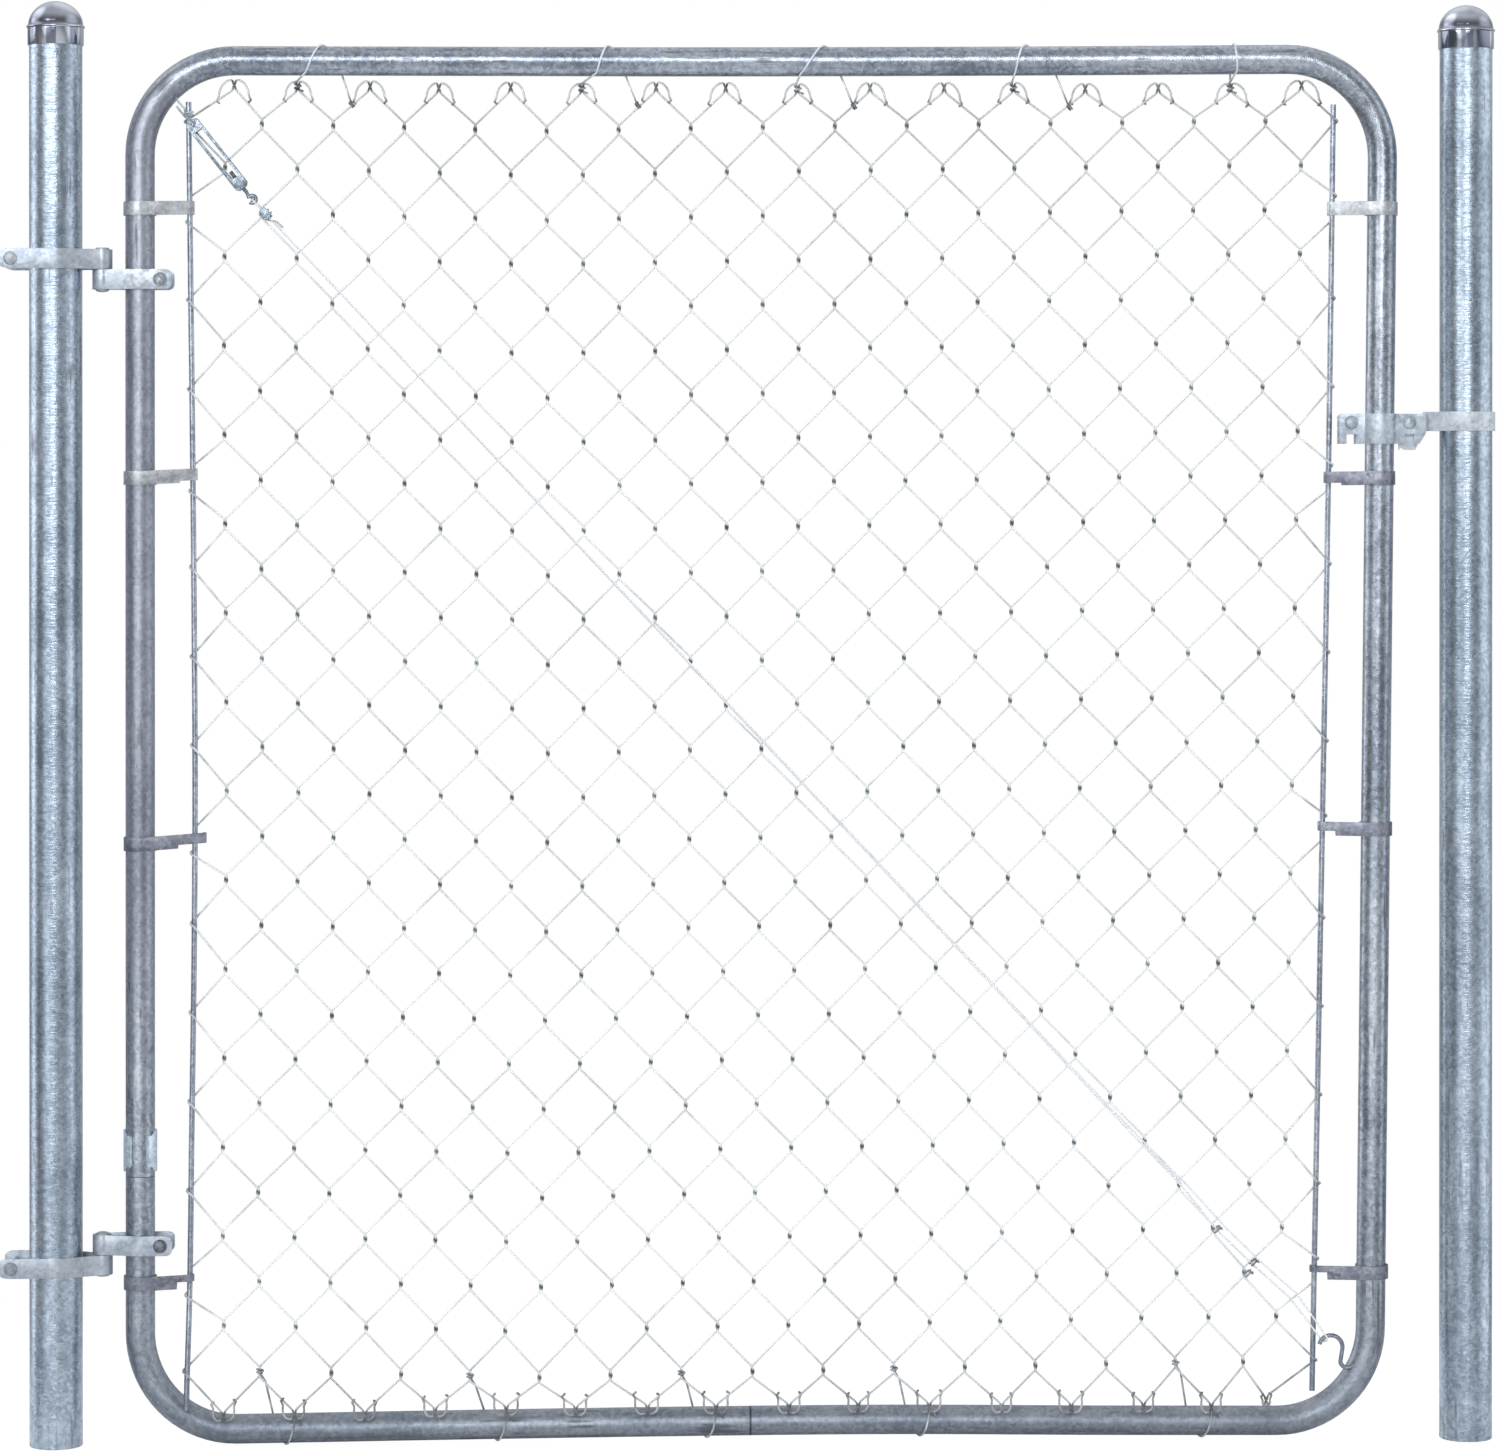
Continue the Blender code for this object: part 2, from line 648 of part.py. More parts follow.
def mesh_grid():
    """How many half diamonds fit: columns between the bars, rows between the rails."""
    top = MESH_TOP + KNUCKLE_TUCK_TOP
    foot = MESH_FOOT - KNUCKLE_TUCK_FOOT
    middle = (top + foot) / 2
    columns = 4 * round((latch_bar_x(middle) - hinge_bar_x(middle)) / DIAMOND_WIDTH / 2)
    rows = 2 * round((top - foot) / DIAMOND_HEIGHT)
    return top, foot, columns, rows


def edge_offset(height, bands):
    """How far the outer wires stand off the bar's centre: more where a band's hook passes."""
    stand_off = BAR_RADIUS + SEAT_GAP + WIRE_CORNER * WIRE_HALF_WIDTH
    for band in bands:
        if abs(height - band) < BAND_HEIGHT:
            stand_off += BAND_HOOK_ROOM + BAND_THICKNESS
    return stand_off


def make_mesh_half(name, first_column, last_column, material, pivot):
    """Half of the mesh: its wires zigzag between the rows and end in knuckles, top and bottom."""
    top, foot, columns, rows = mesh_grid()
    pitch = (top - foot) / rows
    seam_column = columns // 2
    seam_step = SEAM_CORNER * WIRE_HALF_WIDTH + SEAT_GAP / 2

    def column_x(column, height):
        low = hinge_bar_x(height) - MESH_SIDE_TUCK
        high = latch_bar_x(height) + MESH_SIDE_TUCK
        x = low + (high - low) * column / columns
        if column == 0:
            x = hinge_bar_x(height) + edge_offset(height, HINGE_SIDE_BANDS)
        if column == columns:
            x = latch_bar_x(height) - edge_offset(height, LATCH_SIDE_BANDS)
        if column == seam_column:
            x += seam_step if first_column == seam_column else -seam_step
        return x

    joints = {}
    for column in range(first_column, last_column + 1):
        for row in range(rows + 1):
            if (row + column) % 2 == 0:
                continue
            height = top - row * pitch + smooth_value(PICKET_SHARES, PICKET_RISE, column / columns)
            if row == 0:
                height = MESH_TOP - KNUCKLE_RISE
            x = column_x(column, height)
            if row == rows:
                height = MESH_FOOT + rail_bow(FOOT_RAIL_BOW, x) + KNUCKLE_RISE
            joints[column, row] = (x, height)
    bars = []
    for column, row in list(joints):
        for other in ((column + 1, row + 1), (column + 1, row - 1)):
            if other in joints:
                bars.append(((column, row), other))
    for column, row in [key for key in joints if key[1] in (0, rows)]:
        add_knuckle(joints, bars, column, row, 1.0 if row == 0 else -1.0)
    mesh = lattice_mesh(joints, bars, WIRE_HALF_WIDTH)
    return add_object(name, mesh, material, pivot)


def add_knuckle(joints, bars, column, row, up):
    """The two cut wires at an edge of the mesh, bent over each other into a crown of two loops."""
    x, z = joints[column, row]
    tip = (column, row, "tip")
    joints[tip] = (x, z + up * KNUCKLE_RISE)
    bars.append(((column, row), tip))
    for side in (-1, 1):
        inner = (column + side, row + (1 if row == 0 else -1))
        pair = ((column, row), inner)
        if side < 0:
            pair = (inner, (column, row))
        foot_key = (column, row, "foot", side)
        shoulder_key = (column, row, "shoulder", side)
        inner_x, inner_z = joints[inner]
        share = KNUCKLE_FOOT / abs(inner_x - x)
        joints[foot_key] = (x + (inner_x - x) * share, z + (inner_z - z) * share)
        joints[shoulder_key] = (x + side * KNUCKLE_SHOULDER,
                                z + up * (KNUCKLE_RISE - KNUCKLE_SHOULDER_DROP))
        bars.remove(pair)
        bars += [((column, row), foot_key), (foot_key, inner),
                 (foot_key, shoulder_key), (shoulder_key, tip)]


def hinge_strap_path(body_radius, pin_distance, ear_reach):
    """Plan of a hinge strap about its tube at (0, 0): ear, tube, eye round the pin, tube, ear."""
    round_body = body_radius + SEAT_GAP + HINGE_STRAP_THICKNESS / 2
    round_pin = PIN_RADIUS + PIN_CLEARANCE + HINGE_STRAP_THICKNESS / 2
    lean = math.asin((round_body - round_pin) / pin_distance)
    quarter = math.pi / 2
    ear = [(-ear_reach * share, -round_body) for share, _ in EAR_CORNER]
    near = wrap((0.0, 0.0), round_body, -quarter, -quarter + lean, 2)
    eye = wrap((pin_distance, 0.0), round_pin, -quarter + lean, quarter - lean, 10)
    front = ear + near
    back = [(x, -y) for x, y in reversed(front)]
    return front + eye + back


def make_hinge_strap(name, tube_x, body_radius, pin_distance, ear_reach, bolt_offset, centre,
                     material, pivot):
    """A hinge strap in one piece, with rounded ears and a hole through both for its bolt."""
    facing = 1.0 if pin_distance > 0 else -1.0
    path = hinge_strap_path(body_radius, abs(pin_distance), ear_reach)
    half = HINGE_STRAP_HEIGHT / 2
    edges = []
    for index in range(len(path)):
        from_end = min(index, len(path) - 1 - index, len(EAR_CORNER) - 1)
        share = EAR_CORNER[from_end][1]
        edges.append((centre - half * share, centre + half * share))
    placed = [(tube_x + facing * along, across) for along, across in path]
    strap = add_object(name, strap_mesh(placed, HINGE_STRAP_THICKNESS, edges), material, pivot)
    hole_x = tube_x - facing * bolt_offset
    reach = body_radius + 3 * HINGE_STRAP_THICKNESS
    drill = drill_along_y(name + "_drill", hole_x, centre, -reach, reach, pivot)
    cut(strap, drill)
    return strap


def drill_along_y(name, x, z, near, far, pivot):
    """A hidden cylinder along Y that makes the holes for one bolt."""
    radius = (BOLT_RADIUS + BOLT_CLEARANCE) / math.cos(math.pi / BOLT_SIDES)
    mesh = turned_mesh([(radius, near), (radius, far)], BOLT_SIDES)
    lay_along_y(mesh, x, z)
    return add_object(name, mesh, metal(name, (0.5, 0.5, 0.5), 0.5), pivot)


def lay_along_y(mesh, x, z):
    """Turns a piece that was made along +Z so that it runs along +Y, at the given x and z."""
    for vertex in mesh.verts:
        across, away, along = vertex.co
        vertex.co = (x + across, along, z - away)


def make_bolt(name, x, z, front, back, material, pivot):
    """A carriage bolt along Y: domed head on the face at front, hexagon nut on that at back."""
    head = front - SEAT_GAP
    nut = back + SEAT_GAP
    head_radius = BOLT_HEAD_DIAMETER / 2
    nut_radius = NUT_WIDTH / 2 / math.cos(math.pi / 6)
    profile = [(0.0, head - BOLT_HEAD_HEIGHT),
               (head_radius * DOME_SHOULDER[0], head - BOLT_HEAD_HEIGHT * DOME_SHOULDER[1]),
               (head_radius, head), (BOLT_RADIUS, head), (BOLT_RADIUS, nut),
               (nut_radius, nut), (nut_radius, nut + NUT_THICKNESS),
               (BOLT_RADIUS, nut + NUT_THICKNESS), (BOLT_RADIUS, nut + NUT_THICKNESS + BOLT_TAIL)]
    mesh = turned_mesh(profile, BOLT_SIDES, hexagonal=(5, 6))
    lay_along_y(mesh, x, z)
    return add_object(name, mesh, material, pivot)


def make_hinge_pin(name, low, high, head_up, material):
    """The pin of one hinge, as long as both eyes, with a domed head at one end."""
    facing = 1.0 if head_up else -1.0
    head = (high if head_up else low) + facing * SEAT_GAP
    tail = (low if head_up else high) - facing * PIN_TAIL
    profile = [(0.0, head + facing * PIN_DOME),
               (PIN_RADIUS * DOME_SHOULDER[0], head + facing * PIN_DOME * DOME_SHOULDER[1]),
               (PIN_RADIUS, head), (PIN_RADIUS, tail)]
    mesh = turned_mesh(profile, POST_SIDES * 2 // 3)
    bmesh.ops.translate(mesh, verts=mesh.verts, vec=(PIN_X, 0.0, 0.0))
    return add_object(name, mesh, material)


def make_hinge(place, middle, post_above, posts_material, bolt_material, gate_pivot):
    """One hinge: a strap on the post and a strap on the gate, one eye above the other."""
    step = (HINGE_STRAP_HEIGHT + HINGE_RUNNING_GAP) / 2
    post_z = middle + (step if post_above else -step)
    gate_z = middle - (step if post_above else -step)
    make_hinge_strap(place + "_post_hinge_strap", HINGE_POST_X, POST_RADIUS, HINGE_PIN_OFFSET,
                     POST_EAR_REACH, POST_EAR_BOLT, post_z, posts_material, None)
    make_hinge_strap(place + "_gate_hinge_strap", HINGE_STILE_X, FRAME_RADIUS,
                     HINGE_PIN_OFFSET - FRAME_SETBACK, GATE_EAR_REACH, GATE_EAR_BOLT, gate_z,
                     posts_material, gate_pivot)
    post_face = POST_RADIUS + SEAT_GAP + HINGE_STRAP_THICKNESS
    gate_face = FRAME_RADIUS + SEAT_GAP + HINGE_STRAP_THICKNESS
    make_bolt(place + "_post_hinge_bolt", HINGE_POST_X - POST_EAR_BOLT, post_z,
              -post_face, post_face, bolt_material, None)
    make_bolt(place + "_gate_hinge_bolt", HINGE_STILE_X + GATE_EAR_BOLT, gate_z,
              -gate_face, gate_face, bolt_material, gate_pivot)
    reach = step + HINGE_STRAP_HEIGHT / 2
    make_hinge_pin(place + "_hinge_pin", middle - reach, middle + reach, not post_above, bolt_material)


def make_latch_half(name, facing, material, pivot):
    """One half of the latch: two wings and the half round between them that slides on the tube."""
    stile_x = latch_stile_x(LATCH_CENTRE)
    low = LATCH_CENTRE - LATCH_HEIGHT / 2
    high = LATCH_CENTRE + LATCH_HEIGHT / 2
    wing_y = (LATCH_WING_GAP + LATCH_THICKNESS) / 2
    radius = FRAME_RADIUS + LATCH_CLEARANCE + LATCH_THICKNESS / 2
    dip = math.asin(wing_y / radius)
    bow = wrap((0.0, 0.0), radius, math.pi + dip, 2 * math.pi - dip, 8)
    inner_tip = -LATCH_INNER_WING + LATCH_CORNER_ROUND
    path = [(-LATCH_INNER_WING, -wing_y), (inner_tip, -wing_y)] + bow
    path += [(LATCH_OUTER_WING - LATCH_CORNER_CUT[0], -wing_y), (LATCH_OUTER_WING, -wing_y)]
    edges = [(low, high)] * len(path)
    edges[0] = (low, high - LATCH_CORNER_ROUND)
    edges[-1] = (low + LATCH_CORNER_CUT[1], high)
    placed = [(stile_x + along, facing * across) for along, across in path]
    half = add_object(name, strap_mesh(placed, LATCH_THICKNESS, edges), material, pivot)
    for side, label in ((-1, "inner"), (1, "outer")):
        x = stile_x + side * LATCH_BOLT_OFFSET
        reach = wing_y + LATCH_THICKNESS
        drill = drill_along_y(name + "_" + label + "_drill", x, high - LATCH_BOLT_DROP,
                              -reach, reach, pivot)
        cut(half, drill)
        notch = box_mesh((x - LATCH_NOTCH_WIDTH / 2, -reach, low - LATCH_NOTCH_DEPTH),
                         (x + LATCH_NOTCH_WIDTH / 2, reach, low + LATCH_NOTCH_DEPTH))
        cutter = add_object(name + "_" + label + "_notch", notch, material, pivot)
        cut(half, cutter)
    return half


def box_mesh(low, high):
    mesh = bmesh.new()
    bmesh.ops.create_cube(mesh, size=1.0)
    for vertex in mesh.verts:
        vertex.co = [a if c < 0 else b for a, b, c in zip(low, high, vertex.co)]
    return mesh


def make_strike(material):
    """The strike: a strap round the latch post that ends in a tongue between the latch wings."""
    stile_x = latch_stile_x(LATCH_CENTRE)
    tip_x = stile_x + FRAME_RADIUS + STRIKE_TIP_CLEARANCE
    root_x = LATCH_POST_X - STRIKE_ROOT
    round_post = POST_RADIUS + SEAT_GAP + STRIKE_THICKNESS / 2
    lean = math.asin(round_post / STRIKE_ROOT)
    quarter = math.pi / 2
    start = -math.pi + (quarter - lean)
    sweep = wrap((LATCH_POST_X, 0.0), round_post, start, math.pi - (quarter - lean), 14)
    behind = STRIKE_THICKNESS + 2 * SEAT_GAP
    ear_end = (root_x + behind / math.tan(lean) * STRIKE_END_SHARE, behind + SEAT_GAP / 2)
    tongue = [(tip_x + along, 0.0) for along, _, _ in STRIKE_TIP_ROUND]
    tongue += [(root_x - STRIKE_TURN, 0.0), (root_x - STRIKE_TURN / 4, 0.0), (root_x, 0.0)]
    path = tongue + sweep + [ear_end]
    low = STRIKE_CENTRE - STRIKE_HEIGHT / 2
    high = STRIKE_CENTRE + STRIKE_HEIGHT / 2
    tongue_top = LATCH_CENTRE + LATCH_HEIGHT / 2 - LATCH_BOLT_DROP - BOLT_RADIUS - SEAT_GAP
    tongue_low = tongue_top - STRIKE_TONGUE_DEPTH
    edges = [(tongue_low + up, tongue_top - down) for _, up, down in STRIKE_TIP_ROUND]
    edges += [(tongue_low, tongue_top)] + [(low, high)] * (len(sweep) + 3)
    return add_object("strike_band", strap_mesh(path, STRIKE_THICKNESS, edges), material)


def cable_knee():
    """Where the cable turns towards the S hook, set out from the frame's lower bend."""
    corner_x, corner_z = TRUSS_CORNER
    return Vector((corner_x + CABLE_KNEE[0], TRUSS_DEPTH, corner_z + CABLE_KNEE[1]))


def along_truss(distance, across=0.0, away=0.0):
    """A point on the turnbuckle's line, measured from where it passes the hinge side bar."""
    start = Vector((hinge_bar_x(ANCHOR_HEIGHT), TRUSS_DEPTH, ANCHOR_HEIGHT))
    way = cable_knee() - start
    angle = math.atan2(way.z, way.x) - TURNBUCKLE_DIP
    along = Vector((math.cos(angle), 0.0, math.sin(angle)))
    aside = Vector((-along.z, 0.0, along.x))
    return start + along * distance + aside * across + Vector((0.0, away, 0.0))


def make_turnbuckle_body(material, pivot):
    """An open body: a block at each end and a rail down each side."""
    start = TURNBUCKLE_START
    end = start + TURNBUCKLE_LENGTH
    half = TURNBUCKLE_WIDTH / 2
    inner = half - TURNBUCKLE_RAIL
    chamfer = TURNBUCKLE_RAIL
    outline = [(start, -half + chamfer), (start + chamfer, -half), (end - chamfer, -half),
               (end, -half + chamfer), (end, half - chamfer), (end - chamfer, half),
               (start + chamfer, half), (start, half - chamfer)]
    mesh = bmesh.new()
    bottom = [mesh.verts.new(along_truss(a, b, TURNBUCKLE_DEPTH / 2)) for a, b in outline]
    top = [mesh.verts.new(along_truss(a, b, -TURNBUCKLE_DEPTH / 2)) for a, b in outline]
    join_rings(mesh, [bottom, top], False)
    body = add_object("turnbuckle_body", mesh, material, pivot)
    slot = [(start + TURNBUCKLE_BLOCK, -inner), (end - TURNBUCKLE_BLOCK, -inner),
            (end - TURNBUCKLE_BLOCK, inner), (start + TURNBUCKLE_BLOCK, inner)]
    window = bmesh.new()
    reach = TURNBUCKLE_DEPTH
    low = [window.verts.new(along_truss(a, b, reach)) for a, b in slot]
    high = [window.verts.new(along_truss(a, b, -reach)) for a, b in slot]
    join_rings(window, [low, high], False)
    cut(body, add_object("turnbuckle_window", window, material, pivot))
    rod_bore = [along_truss(end - 1.5 * TURNBUCKLE_BLOCK), along_truss(end + TURNBUCKLE_BLOCK)]
    bore = wire_mesh(rod_bore, EYE_ROD_DIAMETER / 2 + 2 * SEAT_GAP, 8)
    cut(body, add_object("turnbuckle_bore", bore, material, pivot))
    hole = along_truss(start + ANCHOR_HOLE)
    depth = Vector((0.0, TURNBUCKLE_DEPTH, 0.0))
    anchor = wire_mesh([hole - depth, hole + depth], ANCHOR_WIRE_DIAMETER / 2 + 2 * SEAT_GAP, 8)
    cut(body, add_object("turnbuckle_anchor_hole", anchor, material, pivot))
    return body


def make_anchor_wire(material, pivot):
    """The wire that ties the turnbuckle to the bar: through the block's hole and round the bar."""
    radius = ANCHOR_WIRE_DIAMETER / 2
    hole = along_truss(TURNBUCKLE_START + ANCHOR_HOLE)
    front = -TURNBUCKLE_DEPTH / 2 - radius - 2 * SEAT_GAP
    back = TURNBUCKLE_DEPTH / 2 + radius + 2 * SEAT_GAP
    turn_z = ANCHOR_HEIGHT + ANCHOR_RISE
    bar_x = hinge_bar_x(turn_z)
    clear = BAR_RADIUS + radius + SEAT_GAP
    path = [hole + Vector((0.0, front, 0.0)),
            Vector((bar_x, TRUSS_DEPTH + front, turn_z - ANCHOR_RISE)),
            Vector((bar_x - clear, -clear, turn_z - ANCHOR_RISE / 3))]
    for x, y in wrap((bar_x, 0.0), clear, math.radians(180), math.radians(0), 6):
        path.append(Vector((x, y, turn_z)))
    path += [Vector((hole.x, TRUSS_DEPTH + back, turn_z - ANCHOR_RISE / 2)),
             hole + Vector((0.0, back, 0.0))]
    return add_object("truss_anchor_wire", wire_mesh(path, radius, WIRE_SIDES, closed=True),
                      material, pivot)


def eye_centre():
    return TURNBUCKLE_START + TURNBUCKLE_LENGTH + EYE_REACH


def make_eye_rod(material, pivot):
    """The rod in the turnbuckle's lower block, its end bent round into an eye."""
    rod = EYE_ROD_DIAMETER / 2
    ring = (EYE_DIAMETER - EYE_ROD_DIAMETER) / 2
    centre = eye_centre()
    bend = math.radians(205)
    path = [along_truss(centre - EYE_REACH - EYE_ROD_INSIDE), along_truss(centre - EYE_NECK)]
    for across, aside in arc((0.0, 0.0), ring, bend, bend - 2 * math.pi + EYE_OPENING, 9):
        path.append(along_truss(centre + across, aside))
    return add_object("turnbuckle_eye_rod", wire_mesh(path, rod, WIRE_SIDES), material, pivot)


def s_hook_centres():
    """Centres of the two bends of the S hook, set out from the frame's lower bend."""
    top = Vector(TRUSS_CORNER) + Vector(S_HOOK_TOP)
    foot = Vector(TRUSS_CORNER) + Vector(S_HOOK_FOOT)
    return top, foot


def s_hook_path():
    """The hook's centre line (x, z): over the top bend, down, round the foot and into the tube."""
    top, foot = s_hook_centres()
    over = arc(top, S_HOOK_TOP_RADIUS, S_HOOK_TURNS[0], S_HOOK_TURNS[1], 8)
    under = arc(foot, S_HOOK_FOOT_RADIUS, S_HOOK_TURNS[2], S_HOOK_TURNS[3], 5)
    onward = S_HOOK_TURNS[3] + math.pi / 2
    tip = (under[-1][0] + S_HOOK_TIP * math.cos(onward), under[-1][1] + S_HOOK_TIP * math.sin(onward))
    return over + under + [tip]


def make_s_hook(frame, material, pivot):
    """The hook that holds the cable to the frame's lower corner, and its hole in the tube."""
    path = [(x, TRUSS_DEPTH, z) for x, z in s_hook_path()]
    mesh = wire_mesh(path, S_HOOK_DIAMETER / 2, 8)
    hook = add_object("truss_s_hook", mesh, material, pivot)
    end = Vector(path[-1])
    way = (end - Vector(path[-2])).normalized()
    route = [Vector(path[-3]), Vector(path[-2]), end + way * S_HOOK_TIP / 4]
    hole = wire_mesh(route, S_HOOK_DIAMETER / 2 + S_HOOK_HOLE_CLEARANCE, 8)
    cut(frame, add_object("s_hook_hole", hole, material, pivot))
    return hook


def cable_half_loop(centre, pull, radius, steps):
    """Half a turn of cable behind a bearing point, from the front round to the back."""
    points = []
    for step in range(steps + 1):
        angle = math.pi * step / steps
        points.append(centre - pull * radius * math.sin(angle)
                      + Vector((0.0, -radius * math.cos(angle), 0.0)))
    return points


def cable_layout():
    """Where the cable bears at both ends, and the middle of its clip."""
    ring = (EYE_DIAMETER - EYE_ROD_DIAMETER) / 2
    rim = along_truss(eye_centre() + ring)
    top, _ = s_hook_centres()
    bearing = Vector((top.x + S_HOOK_TOP_RADIUS * math.cos(S_HOOK_BEARING), TRUSS_DEPTH,
                      top.y + S_HOOK_TOP_RADIUS * math.sin(S_HOOK_BEARING)))
    return rim, cable_knee(), bearing


def make_cable(material, pivot):
    """One length of cable doubled between the eye and the hook, both strands drawn taut."""
    rim, knee, bearing = cable_layout()
    radius = CABLE_DIAMETER / 2
    steps = 4
    corner = math.cos(math.pi / steps / 2)
    eye_turn = (EYE_ROD_DIAMETER / 2 + radius + SEAT_GAP) / corner
    hook_turn = (S_HOOK_DIAMETER / 2 + radius + SEAT_GAP) / corner
    pull = (knee - rim).normalized()
    hook_pull = (knee - bearing).normalized()
    start = cable_half_loop(rim, pull, eye_turn, steps)
    end = cable_half_loop(bearing, hook_pull, hook_turn, steps)
    spread = Vector((-pull.z, 0.0, pull.x)) * CABLE_SPREAD
    front = Vector((0.0, -hook_turn, 0.0))
    back = Vector((0.0, hook_turn, 0.0))
    path = list(reversed(start)) + [knee + front + spread]
    path += end + [knee + back - spread]
    mesh = wire_mesh(path, radius, WIRE_SIDES, closed=True)
    return add_object("truss_cable", mesh, material, pivot)


def make_cable_clip(material, pivot):
    """A pressed clip closed round both strands just below the eye."""
    rim, knee, _ = cable_layout()
    pull = (knee - rim).normalized()
    across = Vector((-pull.z, 0.0, pull.x))
    centre = rim + pull * (CABLE_CLIP_SETBACK + CABLE_CLIP_LENGTH / 2)
    cable = CABLE_DIAMETER / 2
    deep = EYE_ROD_DIAMETER / 2 + cable + SEAT_GAP
    half_width = cable + CABLE_CLIP_THICKNESS / 2 + 3 * SEAT_GAP
    half_depth = deep + cable + CABLE_CLIP_THICKNESS / 2 + 2 * SEAT_GAP
    outline = [(-half_width, -SEAT_GAP), (-half_width, -half_depth), (half_width, -half_depth),
               (half_width, half_depth), (-half_width, half_depth), (-half_width, SEAT_GAP)]
    half = CABLE_CLIP_THICKNESS / 2
    mesh = bmesh.new()
    rings = []
    for point, offset in zip(outline, corner_offsets(outline, False)):
        ring = []
        for side, shift in ((-1, -0.5), (1, -0.5), (1, 0.5), (-1, 0.5)):
            spot = Vector(point) + offset * half * side
            ring.append(mesh.verts.new(centre + across * spot.x + Vector((0.0, spot.y, 0.0))
                                       + pull * CABLE_CLIP_LENGTH * shift))
        rings.append(ring)
    join_rings(mesh, rings, False)
    return add_object("cable_clip", mesh, material, pivot)


def main():
    clear_scene()
    post_zinc = metal("post_zinc", (0.50, 0.54, 0.58), 0.45)
    frame_zinc = metal("frame_zinc", (0.40, 0.43, 0.47), 0.50)
    strap_zinc = metal("strap_zinc", (0.68, 0.72, 0.76), 0.45)
    band_zinc = metal("band_zinc", (0.33, 0.33, 0.38), 0.55)
    bolt_zinc = metal("bolt_zinc", (0.50, 0.52, 0.58), 0.40)
    bright_zinc = metal("bright_zinc", (0.62, 0.70, 0.78), 0.25)
    wire_zinc = metal("wire_zinc", (0.55, 0.57, 0.58), 0.50)
    cap_aluminium = metal("cap_aluminium", (0.78, 0.79, 0.80), 0.18)

    gate = bpy.data.objects.new("gate_swing_axis", None)
    gate.location = (PIN_X, 0.0, 0.0)
    latch = bpy.data.objects.new("latch_lift_axis", None)
    latch.location = (latch_stile_x(LATCH_CENTRE), 0.0, LATCH_CENTRE)
    for pivot in (gate, latch):
        bpy.context.scene.collection.objects.link(pivot)
    bpy.context.view_layer.update()

    make_post("hinge_post", HINGE_POST_X, post_zinc)
    make_post("latch_post", LATCH_POST_X, post_zinc)
    make_cap("hinge_post_cap", HINGE_POST_X, cap_aluminium)
    make_cap("latch_post_cap", LATCH_POST_X, cap_aluminium)

    frame = make_frame(frame_zinc, gate)
    make_splice_clip(bright_zinc, gate)
    in_front = FRAME_RADIUS + BAR_RADIUS + 2 * SEAT_GAP
    make_tension_bar("hinge_side_bar", hinge_bar_x, HINGE_BAR_FOOT, in_front, frame_zinc, gate)
    make_tension_bar("latch_side_bar", latch_bar_x, LATCH_BAR_FOOT, 0.0, frame_zinc, gate)
    hinge_side = zip(HINGE_SIDE_BANDS, HINGE_SIDE_NECKS, HINGE_SIDE_RISE)
    for number, (height, neck, rise) in enumerate(hinge_side, start=1):
        make_tension_band(f"hinge_side_band_{number}", HINGE_STILE_X, hinge_bar_x(height),
                          height, neck, rise, band_zinc, gate)
    latch_side = zip(LATCH_SIDE_BANDS, LATCH_SIDE_NECKS, LATCH_SIDE_RISE)
    for number, (height, neck, rise) in enumerate(latch_side, start=1):
        make_tension_band(f"latch_side_band_{number}", latch_stile_x(height), latch_bar_x(height),
                          height, neck, rise, band_zinc, gate)
    _, _, columns, _ = mesh_grid()
    make_mesh_half("mesh_hinge_half", 0, columns // 2, wire_zinc, gate)
    make_mesh_half("mesh_latch_half", columns // 2, columns, wire_zinc, gate)

    make_hinge("upper", UPPER_HINGE_HEIGHT, True, strap_zinc, bolt_zinc, gate)
    make_hinge("lower", LOWER_HINGE_HEIGHT, False, strap_zinc, bolt_zinc, gate)

    make_turnbuckle_body(bright_zinc, gate)
    make_anchor_wire(wire_zinc, gate)
    make_eye_rod(bright_zinc, gate)
    make_cable(wire_zinc, gate)
    make_cable_clip(bright_zinc, gate)
    make_s_hook(frame, wire_zinc, gate)

    make_latch_half("latch_front_half", 1.0, strap_zinc, latch)
    make_latch_half("latch_back_half", -1.0, strap_zinc, latch)
    face = LATCH_WING_GAP / 2 + LATCH_THICKNESS
    bolt_z = LATCH_CENTRE + LATCH_HEIGHT / 2 - LATCH_BOLT_DROP
    for side, label in ((-1, "inner"), (1, "outer")):
        x = latch_stile_x(LATCH_CENTRE) + side * LATCH_BOLT_OFFSET
        make_bolt(f"latch_{label}_bolt", x, bolt_z, -face, face, bolt_zinc, latch)
    make_strike(strap_zinc)


main()
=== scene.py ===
# %% [markdown]
# # A chain link gate and its two posts
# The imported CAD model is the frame: every fitting is already in its place, in metres, with the
# gate hanging in the plane y = 0 and both posts standing on z = 0. This script adds what a
# photograph shows and a solid model leaves out: the woven wire, the ties, eased edges, and zinc
# that has stood outdoors for years.

# %% Load the frame
import random
from math import asin, atan2, cos, degrees, hypot, pi, radians, sin, sqrt, tan

